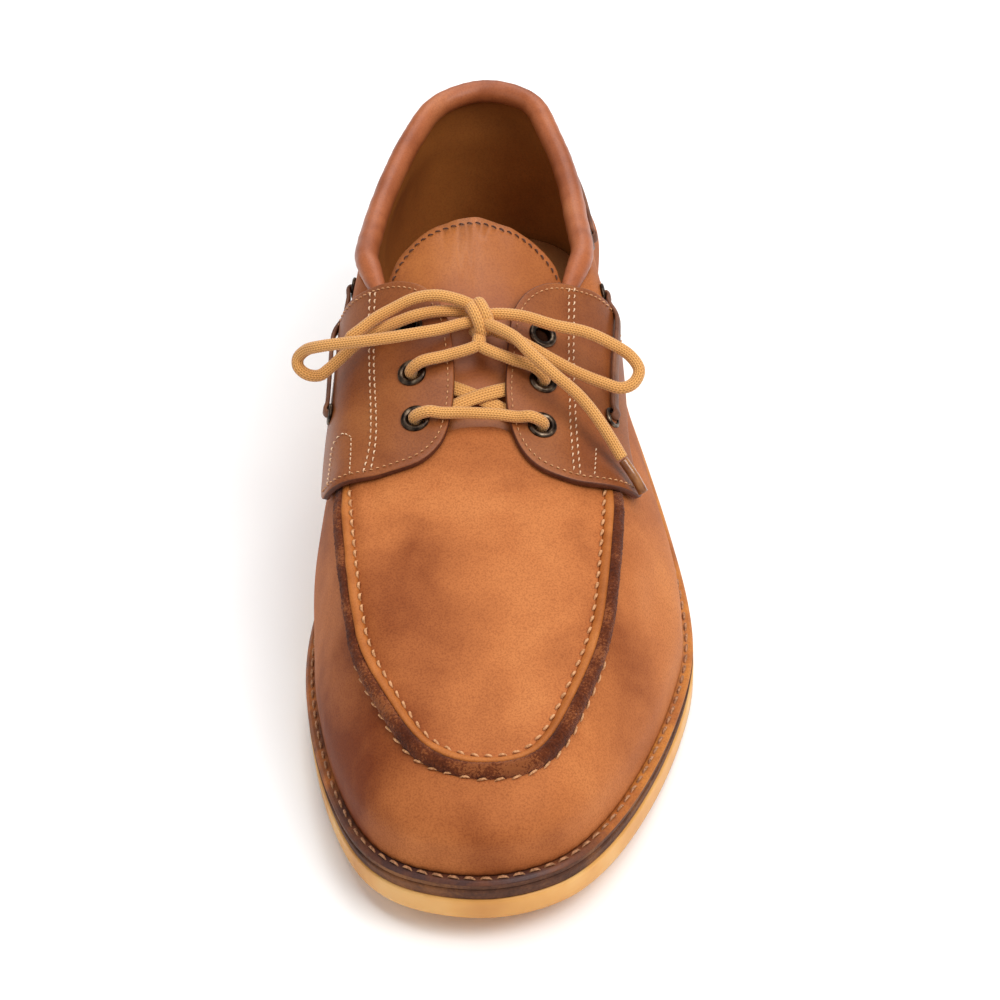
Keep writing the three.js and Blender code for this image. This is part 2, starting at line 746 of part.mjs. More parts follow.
// The lace in the holes: a bar across the lowest pair, two strands that cross under the tabs, and the
// risers from the middle pair.
function laceBars() {
  const [low, middle] = EYELET_PLACES;
  const under = (TONGUE_TOP + TAB_BOTTOM) / 2;
  const overFlange = TAB_TOP + EYELET_SEAT + EYELET_HEIGHT + 2 * GAP + LACE / 2;
  const overTab = TAB_TOP + 2 * GAP + LACE / 2;
  const { lerp } = THREE.MathUtils;
  const between = (a, b, t, out) => fromAbove(lerp(a.half, b.half, t), lerp(a.along, b.along, t), out);
  const inHole = (side, row) => [under, TAB_TOP, TAB_TOP + LACE / 2].map((out) => eyeletSeat(side, row, out).point);
  const ends = [eyeletPlace(-1, low), eyeletPlace(1, low)];
  const across = [0.09, 0.2, 0.35, 0.5, 0.65, 0.8, 0.91].map((t, i, all) => {
    const outermost = i === 0 || i === all.length - 1;
    return between(...ends, t, outermost ? overFlange : overTab).point;
  });
  const bar = [...inHole(-1, low), ...across, ...inHole(1, low).reverse()];
  let solid = toSolid(cordAlong(bar, 16));
  for (const side of [-1, 1]) {
    const from = eyeletPlace(side, middle);
    const meet = placeAt(RISERS_MEET);
    const start = eyeletSeat(side, middle, overFlange + EYELET_HEIGHT).point.lerp(meet, 0.16);
    solid = solid.add(toSolid(cordAlong([...inHole(side, middle), start, meet], 7)));
    const to = eyeletPlace(-side, low);
    const stations = Array.from({ length: 5 }, (_, i) => between(from, to, i / 4, under));
    solid = solid.add(toSolid(sweepSolid(stations, ovalSection(LACE, LACE_FLAT, 6))));
  }
  return toGeometry(solid.simplify(FACET));
}

function knot() {
  const geometry = new THREE.SphereGeometry(0.5, 8, 6).scale(...KNOT_SIZE);
  const centre = placeAt(KNOT);
  return geometry.translate(centre.x, centre.y, centre.z);
}

// The bow: each loop leaves the knot, turns at its tip and comes back under itself.
const LOOP_MEDIAL = table('half along up', [
  [-0.11, 0.468, 1],
  [-0.22, 0.477, 1.01],
  [-0.345, 0.484, 1.02],
  [-0.47, 0.488, 1.02],
  [-0.605, 0.487, 1.005],
  [-0.74, 0.477, 0.96],
  [-0.85, 0.466, 0.91],
  [-0.93, 0.458, 0.865],
  [-0.975, 0.46, 0.835],
  [-0.975, 0.468, 0.82],
  [-0.93, 0.476, 0.81],
  [-0.87, 0.475, 0.8],
  [-0.82, 0.468, 0.805],
  [-0.755, 0.458, 0.82],
  [-0.69, 0.452, 0.85],
  [-0.62, 0.452, 0.895],
  [-0.535, 0.455, 0.945],
  [-0.44, 0.457, 0.985],
  [-0.34, 0.456, 1.01],
  [-0.23, 0.451, 1.005],
  [-0.1, 0.447, 0.975],
]);
const LOOP_LATERAL = table('half along up', [
  [0.06, 0.464, 1.025],
  [0.195, 0.467, 1.02],
  [0.355, 0.476, 1],
  [0.52, 0.478, 0.965],
  [0.64, 0.483, 0.925],
  [0.745, 0.492, 0.885],
  [0.785, 0.502, 0.85],
  [0.755, 0.512, 0.825],
  [0.69, 0.517, 0.82],
  [0.59, 0.512, 0.835],
  [0.47, 0.507, 0.87],
  [0.345, 0.5, 0.915],
  [0.245, 0.49, 0.94],
  [0.145, 0.48, 0.96],
  [0.05, 0.47, 0.965],
]);
const END_MEDIAL = table('half along up', [
  [-0.07, 0.453, 1.04],
  [-0.15, 0.448, 1.055],
  [-0.245, 0.444, 1.06],
  [-0.355, 0.443, 1.045],
  [-0.465, 0.447, 1.015],
  [-0.56, 0.454, 0.995],
]);
const END_LATERAL = table('half along up', [
  [0.03, 0.478, 1.025],
  [0.155, 0.498, 1.03],
  [0.23, 0.517, 1.02],
  [0.345, 0.535, 0.975],
  [0.465, 0.549, 0.915],
  [0.54, 0.56, 0.86],
  [0.615, 0.573, 0.785],
  [0.675, 0.586, 0.72],
]);
const AGLET_LINE = table('half along up', [[0.679, 0.587, 0.715], [0.73, 0.596, 0.665], [0.775, 0.605, 0.61]]);

const shoe = new THREE.Group();

function add(name, geometry, color, roughness, metalness = 0) {
  const material = new THREE.MeshStandardMaterial({ color, roughness, metalness });
  const piece = new THREE.Mesh(geometry, material);
  piece.name = name;
  shoe.add(piece);
}

add('outsole', outsole(), 0xdda050, 0.6);
add('midsole', midsole(), 0x5a3a34, 0.6);
add('welt', welt(), 0xb06020, 0.55);
add('insole', insole(), 0xb8743c, 0.7);
add('upper', upper(), 0xc07840, 0.6);
add('apron_seam', apronSeam(), 0x6e3a20, 0.9);
add('tongue', tongue(), 0xa8603e, 0.5);
add('collar', collar(), 0xa8603e, 0.45);
for (const [word, side] of [['lateral', 1], ['medial', -1]]) {
  add(`tab_${word}`, tab(side), 0x9a5638, 0.5);
  EYELET_PLACES.forEach((row, i) => {
    add(`eyelet_${word}_${i + 1}`, eyelet(side, row), 0x6b5a44, 0.4, 1);
  });
  SIDE_RUNS.forEach((run, i) => {
    add(`side_eyelet_${word}_${2 * i + 1}`, sideEyelet(side, run, 0), 0x6b5a44, 0.4, 1);
    add(`side_eyelet_${word}_${2 * i + 2}`, sideEyelet(side, run, 1), 0x6b5a44, 0.4, 1);
    add(`side_lace_${word}_${run.name}`, sideLace(side, run), 0x8a5030, 0.6);
  });
}
add('lace_bars', laceBars(), 0xe0a050, 0.85);
add('lace_knot', knot(), 0xe0a050, 0.85);
add('lace_loop_medial', cordAlong(LOOP_MEDIAL.map(placeAt), 26), 0xe0a050, 0.85);
add('lace_loop_lateral', cordAlong(LOOP_LATERAL.map(placeAt), 21), 0xe0a050, 0.85);
add('lace_end_medial', cordAlong(END_MEDIAL.map(placeAt), 7), 0xe0a050, 0.85);
add('lace_end_lateral', cordAlong(END_LATERAL.map(placeAt), 9), 0xe0a050, 0.85);
add('aglet', cordAlong(AGLET_LINE.map(placeAt), 3, AGLET), 0x8a5a30, 0.4);

export default shoe;
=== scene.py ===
import math

import bmesh
import bpy
import numpy as np
from mathutils import Matrix, Vector
from mathutils.bvhtree import BVHTree
from mathutils.geometry import delaunay_2d_cdt


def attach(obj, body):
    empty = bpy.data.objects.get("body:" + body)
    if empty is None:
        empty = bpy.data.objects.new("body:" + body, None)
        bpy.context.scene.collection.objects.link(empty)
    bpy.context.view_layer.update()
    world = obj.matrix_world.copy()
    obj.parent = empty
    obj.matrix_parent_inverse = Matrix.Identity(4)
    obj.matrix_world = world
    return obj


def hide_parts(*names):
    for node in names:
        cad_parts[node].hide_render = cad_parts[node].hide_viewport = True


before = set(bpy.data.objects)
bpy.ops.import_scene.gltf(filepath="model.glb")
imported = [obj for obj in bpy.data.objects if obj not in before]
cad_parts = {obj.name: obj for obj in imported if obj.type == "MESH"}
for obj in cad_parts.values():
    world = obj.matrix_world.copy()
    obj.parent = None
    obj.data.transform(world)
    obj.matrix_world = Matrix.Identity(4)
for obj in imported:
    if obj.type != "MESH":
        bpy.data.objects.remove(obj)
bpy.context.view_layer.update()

bpy.ops.object.select_all(action="DESELECT")

MM = 0.001

# Studio: a camera a little over a metre away that looks down on the toe, four large soft lamps and
# a pale paper floor. Angles are in degrees and lengths in millimetres throughout, except that the
# lamps and the floor are given in metres.
AZIMUTH, ELEVATION, ROLL = 1.84, 40.0, -3.78
AIM = Vector((-1.7, 0, 45))
CAMERA_AWAY = 1100
LENS = 131
FRAMING = (3.9, -8.0)  # how far the middle of the picture lies right of and above the aim
FLOOR_SIZE = 6
LAMPS = (  # name, place, size and power in watts
    ("key", (0.7, -0.55, 1.2), 0.8, 12.5),
    ("fill", (-0.9, -0.6, 0.9), 1.0, 2.5),
    ("behind", (0.15, 1.1, 1.0), 0.9, 6),
    ("above", (0.1, 0.1, 1.6), 1.0, 10),
)
LAMPS_AIM = Vector((0, 0, 0.04))
ROOM_LIGHT = 0.38
WHITE = "FFFFFF"


def rgb(code):
    """An sRGB hex colour as the linear colour that a shader takes."""
    parts = [int(code[i:i + 2], 16) / 255 for i in (0, 2, 4)]
    return [c / 12.92 if c <= 0.04045 else ((c + 0.055) / 1.055) ** 2.4 for c in parts] + [1]


def node(beside, kind, settings=None, links=None):
    """A shader node in the tree of a given socket, with its settings, and its inputs joined to sockets."""
    tree = beside.id_data
    made = tree.nodes.new(kind)
    for key, value in (settings or {}).items():
        if isinstance(key, str) and hasattr(made, key):
            setattr(made, key, value)
        else:
            made.inputs[key].default_value = value
    for key, source in (links or {}).items():
        tree.links.new(source, made.inputs[key])
    return made


def new_material(name):
    """A material, and where a point lies in the piece's own space, in metres."""
    made = bpy.data.materials.new(name)
    made.use_nodes = True
    made.node_tree.nodes.clear()
    return made, made.node_tree.nodes.new("ShaderNodeTexCoord").outputs["Object"]


def close_material(where, settings, **links):
    """Ends a material in one principled shader."""
    links = {key.replace("_", " "): source for key, source in links.items()}
    shader = node(where, "ShaderNodeBsdfPrincipled", settings, links)
    node(where, "ShaderNodeOutputMaterial", {}, {"Surface": shader.outputs[0]})


azimuth, elevation, roll = (math.radians(a) for a in (AZIMUTH, ELEVATION, ROLL))
back = Vector((math.sin(azimuth) * math.cos(elevation), -math.cos(azimuth) * math.cos(elevation),
               math.sin(elevation)))
level = Vector((math.cos(azimuth), math.sin(azimuth), 0))
upright = back.cross(level)
right = math.cos(roll) * level + math.sin(roll) * upright
up = -math.sin(roll) * level + math.cos(roll) * upright
eye = (AIM + back * CAMERA_AWAY) * MM
aim = (AIM + right * FRAMING[0] + up * FRAMING[1]) * MM
look = (eye - aim).normalized()
side = (right - look * right.dot(look)).normalized()
camera = bpy.data.objects.new("camera", bpy.data.cameras.new("camera"))
camera.data.lens = LENS
turned = Matrix((side, look.cross(side), look)).transposed().to_4x4()
camera.matrix_world = Matrix.Translation(eye) @ turned
bpy.context.scene.collection.objects.link(camera)
bpy.context.scene.camera = camera
bpy.context.scene.view_settings.view_transform = "Standard"

bpy.ops.mesh.primitive_plane_add(size=FLOOR_SIZE)
floor = bpy.context.object
floor.name = "paper_floor"
paper, where = new_material("matt_paper")
close_material(where, {"Base Color": rgb(WHITE), "Roughness": 0.9, "Specular IOR Level": 0.1})
floor.data.materials.append(paper)

for name, place, size, power in LAMPS:
    lamp = bpy.data.objects.new("lamp_" + name, bpy.data.lights.new("lamp_" + name, "AREA"))
    lamp.data.size = size
    lamp.data.energy = power
    lamp.location = place
    lamp.rotation_euler = (Vector(place) - LAMPS_AIM).to_track_quat("Z", "Y").to_euler()
    bpy.context.scene.collection.objects.link(lamp)
world = bpy.data.worlds.new("soft_room")
bpy.context.scene.world = world
world.use_nodes = True
room = world.node_tree.nodes["Background"]
room.inputs["Color"].default_value = rgb(WHITE)
room.inputs["Strength"].default_value = ROOM_LIGHT


# Gum outsole: crepe-coloured natural rubber, moulded in one piece with a low heel, its edge ground
# smooth after it was cemented on. Its colour darkens in a thin band along the line where it meets the ground.
WELD = 2e-6  # points of the CAD's facets this close together, in metres, are one
FLAT_ENOUGH = {"angle_face_threshold": 0.6, "angle_shape_threshold": 1.2}


def select_only(*made):
    bpy.ops.object.select_all(action="DESELECT")
    for piece in made:
        piece.select_set(True)
    bpy.context.view_layer.objects.active = made[0]


def apply_all(made):
    select_only(made)
    for modifier in list(made.modifiers):
        bpy.ops.object.modifier_apply(modifier=modifier.name)
    made.select_set(False)


def shade_smooth(mesh):
    mesh.polygons.foreach_set("use_smooth", np.ones(len(mesh.polygons), bool))


def rounded(made, levels):
    """Rounds a piece by subdivision, as far as its creases allow."""
    rounding = made.modifiers.new("rounding", "SUBSURF")
    rounding.levels = rounding.render_levels = levels
    apply_all(made)
    shade_smooth(made.data)
    return made


def carried(name, cad, levels, *materials, sharp=28):
    """A smooth copy of a faceted CAD piece: sharp edges are creased, and the rest is rounded."""
    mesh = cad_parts[cad].data.copy()
    made = bpy.data.objects.new(name, mesh)
    bpy.context.scene.collection.objects.link(made)
    work = bmesh.new()
    work.from_mesh(mesh)
    bmesh.ops.remove_doubles(work, verts=work.verts, dist=WELD)
    bmesh.ops.join_triangles(work, faces=work.faces, **FLAT_ENOUGH)
    crease = work.edges.layers.float.new("crease_edge")
    for edge in work.edges:
        if len(edge.link_faces) == 2 and edge.calc_face_angle(0) > math.radians(sharp):
            edge[crease] = 1
    work.to_mesh(mesh)
    work.free()
    mesh.materials.clear()
    for material in materials:
        mesh.materials.append(material)
    return rounded(made, levels)


def read(items, key):
    """One vector of each vertex or face, as rows of numbers."""
    flat = np.empty(len(items) * 3)
    items.foreach_get(key, flat)
    return flat.reshape(-1, 3)


def points_of(made):
    return read(made.data.vertices, "co") / MM


def set_points(made, points):
    made.data.vertices.foreach_set("co", (np.asarray(points) * MM).ravel())
    made.data.update()


def place(made, slot, *cad):
    """Fixes a piece to the shoe, in the place of the CAD pieces that it stands for."""
    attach(made, "root")
    if cad:
        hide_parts(*cad)
    return made


def noise(where, scale, detail, **more):
    settings = {"Scale": scale, "Detail": detail, **more}
    return node(where, "ShaderNodeTexNoise", settings, {"Vector": where}).outputs["Fac"]


def maths(operation, first, number=None, third=None):
    """A sum of shader values, the second of which is a plain number."""
    settings = {"operation": operation} if number is None else {"operation": operation, 1: number}
    links = {0: first} if third is None else {0: first, 2: third}
    return node(first, "ShaderNodeMath", settings, links).outputs[0]


def remap(value, low, high, at_low, at_high):
    """A value stretched from one range to another, and held at its ends."""
    settings = {"From Min": low, "From Max": high, "To Min": at_low, "To Max": at_high}
    return node(value, "ShaderNodeMapRange", settings, {"Value": value}).outputs[0]


def tinted(share, body, code, blend="MIX"):
    """A colour with another one laid over it, by a share from 0 to 1."""
    settings = {"blend_type": blend, "Color2": rgb(code)}
    return node(body, "ShaderNodeMixRGB", settings, {"Fac": share, "Color1": body}).outputs[0]


def bumped(height, strength, distance):
    settings = {"Strength": strength, "Distance": distance}
    return node(height, "ShaderNodeBump", settings, {"Height": height}).outputs[0]


def ramp(source, *stops):
    """A colour read off a scale of (position, colour) stops."""
    made = node(source, "ShaderNodeValToRGB", {}, {"Fac": source})
    elements = made.color_ramp.elements
    while len(elements) < len(stops):
        elements.new(0.5)
    for element, (position, code) in zip(elements, stops):
        element.position = position
        element.color = rgb(code)
    return made.outputs["Color"]


# Cast gum rubber: a waxy, slightly cloudy amber with a soft shine.
gum, where = new_material("cast_gum_rubber")
body = ramp(noise(where, 38, 3), (0.3, "C8873C"), (0.5, "DDA052"), (0.72, "E8B871"))
height = node(where, "ShaderNodeSeparateXYZ", {}, {0: where}).outputs["Z"]
# the colour darkens within 3 mm of the ground line
ground_line_dark = remap(height, 0.0005, 0.003, 0.75, 0)
waxy = {"Roughness": 0.48, "IOR": 1.5, "Subsurface Weight": 0.08, "Subsurface Radius": (0.004, 0.002, 0.001)}
close_material(where, waxy, Base_Color=tinted(ground_line_dark, body, "7A5230"),
               Normal=bumped(noise(where, 900, 4), 0.15, 0.0002))
place(carried("gum_outsole", "outsole", 2, gum), "gum_rubber", "outsole")


# Edge strip: a band of stacked leather board between gum and welt, inked dark brown at the edge and
# scuffed through to the board in places.
def edge_ink(name, codes):
    made, where = new_material(name)
    fine = noise(where, 1100, 3)
    worn = maths("MULTIPLY_ADD", fine, 0.3, noise(where, 60, 6, Roughness=0.7))
    close_material(where, {"Roughness": 0.7, "Specular IOR Level": 0.2}, Normal=bumped(fine, 0.5, 0.0003),
                   Base_Color=ramp(worn, *zip((0.45, 0.62, 0.82), codes)))
    return made


board = edge_ink("inked_leather_board", ("40261A", "583626", "7E5030"))
place(carried("edge_strip_board", "midsole", 2, board), "edge_strip", "midsole")


# Leather of every panel: full-grain cowhide, drum-dyed and finished with oil and wax. The dye
# clouds over a few centimetres, pores show as dark specks, and the grain is a fine net.
def leather(name, tones, roughness, cloud=26, grain=0.7, pores=0.3, relief=0.12, strength=0.4, gloss=0.35,
            toned=0.0):
    """Sizes of clouds and grain are in millimetres; toned is how far the tone attribute, with its painted light and
    shade, shifts the colour.
    """
    made, where = new_material(name)
    shade = noise(where, 1000 / cloud, 3, Roughness=0.55, Distortion=0.25)
    if toned:
        own = node(where, "ShaderNodeAttribute", {"attribute_name": "tone"}).outputs["Fac"]
        shade = maths("MULTIPLY_ADD", own, toned, shade)
    body = ramp(shade, *zip((0.16, 0.4, 0.58, 0.82), tones))
    specks = noise(where, 1000 / grain, 3, Roughness=0.7)
    colour = tinted(remap(specks, 0.36, 0.56, pores, 0), body, "8A4A24", "MULTIPLY")
    net = node(where, "ShaderNodeTexVoronoi", {"Scale": 700 / grain, "feature": "SMOOTH_F1"}, {"Vector": where})
    height = maths("MULTIPLY_ADD", net.outputs["Distance"], 0.5, specks)
    close_material(where, {"Roughness": roughness, "IOR": 1.48, "Specular IOR Level": gloss},
                   Base_Color=colour, Normal=bumped(height, strength, relief * MM))
    return made


def tone(made, values):
    """Gives each point of a piece its tone, from dark red (-1) to bright orange (+1)."""
    layer = made.data.attributes.new("tone", "FLOAT", "POINT")
    layer.data.foreach_set("value", np.clip(values, -1, 1))


# Welt: a strip of oak-bark leather sewn round the foot of the upper, waxed orange-brown on top and
# inked dark at its edge.
waxed_top = leather("waxed_welt_leather", ("4A2C26", "7A4424", "AC6228", "C47A30"), 0.45, cloud=14, toned=0.26)
inked_edge = edge_ink("inked_welt_edge", ("44281A", "5E3A28", "845632"))
welt = carried("welt_strip", "welt", 2, waxed_top, inked_edge)
STILL_TOP = 0.55  # a face that looks up less than this is part of the welt's edge
edge_faces = read(welt.data.polygons, "normal")[:, 2] < STILL_TOP
welt.data.polygons.foreach_set("material_index", edge_faces.astype(np.int32))
spots = points_of(welt)
# lighter on the lateral side: partly the welt's own colour, partly painted light as if lit from that side
side_lit_tone = np.clip(spots[:, 0] / 40, -1, 1) * 0.45 + 0.35  # lighter on the lateral side
tone(welt, side_lit_tone - 1.15 * np.exp(-((spots[:, 1] + 150) / 32) ** 2))  # and dark round the toe
place(welt, "welt_leather", "welt")

# Insole sock: thin calf over foam, cemented in, and the only lining that the open collar shows.
sock = leather("sock_leather", ("9A6236", "B07440", "BC8350", "C89362"), 0.6, cloud=40, pores=0.15)
place(carried("insole_sock", "insole", 2, sock, sharp=50), "lining_leather", "insole")


# Sole outline: the same line as the CAD's, from the heel tip round the lateral side to the toe. Places
# along are shares of the length from the heel, half widths and swings shares of half the width.
LENGTH, HALF = 300, 57.5
SOLE_LINE = (
    (0, 0, 0.005), (0.035, 0.46, 0.005), (0.1, 0.63, 0.006), (0.18, 0.65, 0.006), (0.28, 0.665, 0.035),
    (0.4, 0.75, 0.07), (0.5, 0.88, 0.04), (0.6, 0.985, 0.01), (0.68, 1, -0.005), (0.78, 0.91, -0.04),
    (0.87, 0.765, -0.075), (0.94, 0.585, -0.1), (0.98, 0.37, -0.095), (1, 0, -0.065),
)
FOREFOOT, HEEL_SEAT, TOE_SPRING, SPRING_START = 15.2, 25, 8.5, 0.68


def smoothstep(a, b, x):
    t = np.clip((np.asarray(x, float) - a) / (b - a), 0, 1)
    return t * t * (3 - 2 * t)


def welt_top(y):
    along = 0.5 - np.asarray(y, float) / LENGTH
    spring = TOE_SPRING * np.maximum(0, (along - SPRING_START) / (1 - SPRING_START)) ** 1.7
    return FOREFOOT + (HEEL_SEAT - FOREFOOT) * (1 - smoothstep(0.28, 0.66, along)) + spring


def curve_through(points, closed=False, steps=12):
    """Centripetal Catmull-Rom points through the given ones."""
    p = np.asarray(points, float)
    n = len(p)
    out = []
    for i in range(n if closed else n - 1):
        if closed:
            a, b, c, d = (p[(i + k) % n] for k in (-1, 0, 1, 2))
        else:
            b, c = p[i], p[i + 1]
            a = p[i - 1] if i else 2 * b - c
            d = p[i + 2] if i + 2 < n else 2 * c - b
        t0, t1, t2 = (max(1e-4, np.linalg.norm(v - u) ** 0.5) for u, v in ((a, b), (b, c), (c, d)))
        m1 = ((b - a) / t0 - (c - a) / (t0 + t1) + (c - b) / t1) * t1
        m2 = ((c - b) / t1 - (d - b) / (t1 + t2) + (d - c) / t2) * t1
        t = np.linspace(0, 1, steps, endpoint=False)[:, None]
        out.append(b + m1 * t + (3 * (c - b) - 2 * m1 - m2) * t ** 2 + (2 * (b - c) + m1 + m2) * t ** 3)
    if not closed:
        out.append(p[-1:])
    return np.concatenate(out)


def lengths_along(path):
    return np.concatenate([[0], np.cumsum(np.linalg.norm(np.diff(path, axis=0), axis=1))])


def evenly(path, spacing):
    """The same line with points at even distances."""
    s = lengths_along(path)
    at = np.linspace(0, s[-1], max(2, round(s[-1] / spacing) + 1))
    return np.stack([np.interp(at, s, path[:, k]) for k in range(path.shape[1])], 1)


def unit(v):
    return v / np.maximum(np.linalg.norm(v, axis=-1, keepdims=True), 1e-9)


def outwards(made):
    """Turns every face outwards."""
    work = bmesh.new()
    work.from_mesh(made.data)
    bmesh.ops.recalc_face_normals(work, faces=work.faces)
    work.to_mesh(made.data)
    work.free()


def mesh_piece(name, points, faces, *materials):
    mesh = bpy.data.meshes.new(name)
    mesh.from_pydata((np.asarray(points, float) * MM).tolist(), [], [list(map(int, f)) for f in faces])
    for material in materials:
        mesh.materials.append(material)
    shade_smooth(mesh)
    mesh.update()
    made = bpy.data.objects.new(name, mesh)
    bpy.context.scene.collection.objects.link(made)
    return made


# Thread: three-ply waxed linen or polyester, left cream, or dyed to the leather.
def thread(name, code, dark):
    made, where = new_material(name)
    ply = noise(where, 1400, 2)
    close_material(where, {"Roughness": 0.7}, Base_Color=ramp(ply, (0.35, dark), (0.6, code)),
                   Normal=bumped(ply, 0.6, 0.0001))
    return made


cream_thread = thread("cream_linen_thread", "D8A070", "AA7244")
pale_thread = thread("pale_linen_thread", "ECCCAA", "C89A74")
tan_thread = thread("tan_linen_thread", "B8825A", "7E5230")
brown_thread = thread("brown_linen_thread", "5E3420", "3C2014")
bpy.ops.mesh.primitive_uv_sphere_add(segments=6, ring_count=6, radius=0.5, rotation=(0, math.pi / 2, 0))
bpy.ops.object.transform_apply(location=False, rotation=True, scale=False)
model = bpy.context.object
STITCH = np.array([v.co[:] for v in model.data.vertices])
STITCH_FACES = [list(face.vertices) for face in model.data.polygons]
bpy.data.objects.remove(model)
STITCH_SHARE = STITCH[:, 0] + 0.5
STITCH_RISE = 0.6 - 1.3 * (2 * STITCH_SHARE - 1) ** 4  # both ends dive into their holes


def stitching(name, rows, material, slot):
    """One stitch, copied along rows of (path, outward normals, stitch, space, thickness, slant)."""
    points, faces = [], []
    for path, outs, stitch, space, thick, slant in rows:
        s = lengths_along(path)
        count = int((s[-1] + space) / (stitch + space))
        lead = (s[-1] - count * (stitch + space) + space) / 2
        ahead = unit(np.gradient(path, axis=0))
        sides = unit(np.cross(ahead, outs))
        for i in range(count):
            at = lead + i * (stitch + space) + STITCH_SHARE * stitch
            p, out, across = (np.stack([np.interp(at, s, line[:, k]) for k in range(3)], 1)
                              for line in (path, outs, sides))
            p = p + out * ((STITCH_RISE + STITCH[:, 2]) * thick)[:, None]
            p = p + across * (STITCH[:, 1] * thick + STITCH[:, 0] * slant)[:, None]
            faces += [[v + len(points) * len(STITCH) for v in face] for face in STITCH_FACES]
            points.append(p)
    made = mesh_piece(name, np.concatenate(points), faces, material)
    outwards(made)
    return place(made, slot)


rows = [((swing + half) * HALF, LENGTH / 2 - along * LENGTH) for along, half, swing in SOLE_LINE]
rows += [((swing - half) * HALF, LENGTH / 2 - along * LENGTH) for along, half, swing in SOLE_LINE[-2:0:-1]]
outline = evenly(np.vstack([curve_through(rows, True), rows[:1]]), 1.5)
ahead = unit(np.gradient(outline, axis=0))
outward = np.stack([-ahead[:, 1], ahead[:, 0]], 1)
outward *= np.sign((outward * (outline - outline.mean(0))).sum())

# Welt stitching: thick tan lockstitch in the feather, close against the foot of the upper.
WELT_STITCH_IN, ABOVE_WELT = 2.1, 0.15


def upwards(path):
    """An upward direction for each point of a line."""
    return np.tile([0.0, 0, 1], (len(path), 1))


line = outline - outward * WELT_STITCH_IN
path = np.column_stack([line, welt_top(line[:, 1]) + ABOVE_WELT])
stitching("welt_stitching", [(path, upwards(path), 3.8, 0.8, 0.9, 0.3)], tan_thread, "welt_leather")


# Upper: one soft shell of oiled nubuck, lasted over the foot form, with a calf lining. The outside is
# sanded to a short nap, so it takes marks: darker red where it was handled, bright where it is worn.
# Its colour also holds painted shade down the medial side and at the foot by the welt, and painted
# light on the lateral side.
# Most dark patches on the medial side are painted shade and most bright ones on the lateral side painted light; the
# others are marks of handling and wear.
TONES = (  # x, y, reach and tone, from dark red (-1) to bright orange (+1)
    (-50, -30, 18, -0.5), (-54, -75, 24, -1.3), (-42, -112, 22, -1.1), (-10, -140, 26, -0.3), (22, -132, 26, 0.0),
    (45, -95, 24, 0.5), (54, -55, 22, 0.9), (50, -22, 18, 0.5), (48, 20, 26, 0.2), (-34, -42, 8, 1.2),
    (12, -60, 22, 0.8), (-24, -80, 18, -0.5), (32, -85, 15, -1.0), (2, -98, 18, 0.4), (-2, -40, 22, -0.15),
    (36, 90, 30, 0.2), (-38, 90, 30, -0.3), (0, 140, 30, 0.1), (-46, 20, 24, -0.3),
)
CREASES = (  # from x, y to x, y, depth and width of a soft fold
    (-24, -37, 14, -39, 0.55, 1.7), (-12, -43, 22, -46, 0.5, 1.6), (-28, -50, 2, -53, 0.4, 1.6),
    (-8, -57, 20, -59, 0.3, 1.8), (-48, -58, -40, -84, 0.5, 3.0), (44, -66, 50, -44, 0.5, 3.0),
    (-22, -125, -4, -130, 0.4, 1.6), (-18, -132, 2, -136, 0.35, 1.4),
    (46, 30, 44, 58, 0.5, 3.5), (-44, 40, -42, 74, 0.5, 3.5),
)
AXIS_X, AXIS_Z = -3.2, 48  # the line down the middle of the shoe's hollow, at the instep


def outwards_of_hollow(points, normals):
    """Which points or faces look away from the middle of the shoe's hollow."""
    ahead = points[:, 1]
    middle = np.stack([np.full(len(points), AXIS_X), np.clip(ahead, -125, 125),
                       np.interp(ahead, [-125, -40, 0], [34, 42, AXIS_Z])], 1)
    return ((points - middle) * normals).sum(1)


nubuck = leather("oiled_nubuck", ("7A3814", "A65E30", "BC703C", "CC8048"), 0.66, cloud=34, grain=0.55,
                 pores=0.35, relief=0.1, strength=0.45, gloss=0.16, toned=0.2)
lining = leather("calf_lining", ("7A4420", "925626", "A4642C", "B67438"), 0.55, cloud=40, pores=0.2)
upper = carried("upper_shell", "upper", 3, nubuck, lining, sharp=70)
faces = upper.data.polygons
inside = outwards_of_hollow(read(faces, "center") / MM, read(faces, "normal")) < 0
faces.foreach_set("material_index", inside.astype(np.int32))
shell = points_of(upper)
normal = read(upper.data.vertices, "normal")
outer = outwards_of_hollow(shell, normal) > 0
sink = np.zeros(len(shell))
for x0, y0, x1, y1, depth, width in CREASES:
    a, b = np.array([x0, y0]), np.array([x1, y1])
    t = np.clip(((shell[:, :2] - a) @ (b - a)) / ((b - a) @ (b - a)), 0, 1)
    wave = 1.2 * np.sin(t * 9 + x0)
    away = np.linalg.norm(shell[:, :2] - (a + t[:, None] * (b - a)), axis=1) + 0.3 * wave
    fade = np.sin(np.clip(t, 0.02, 0.98) * math.pi) ** 0.5
    beside = np.exp(-((np.abs(away) - 2 * width) / width) ** 2)  # the leather rises along both sides of a fold
    sink += fade * depth * (1.2 * np.exp(-(away / width) ** 2) - 0.6 * beside)
under_foot = (shell[:, 2] < 34) & (np.abs(shell[:, 0]) < 30) & (shell[:, 1] > -100)
sink[~outer | under_foot] = 0
set_points(upper, shell - normal * sink[:, None])
marks_and_painted_light = np.zeros(len(shell))
# handling and wear marks with painted light and shade from TONES, less painted shade low down where the upper meets the
# welt
for x, y, reach, strength in TONES:
    marks_and_painted_light += strength * np.exp(-((shell[:, 0] - x) ** 2 + (shell[:, 1] - y) ** 2) / reach ** 2)
tone(upper, marks_and_painted_light - 0.5 * np.exp(-(shell[:, 2] - welt_top(shell[:, 1])) / 2.5))  # darker down at the welt
place(upper, "nubuck", "upper")


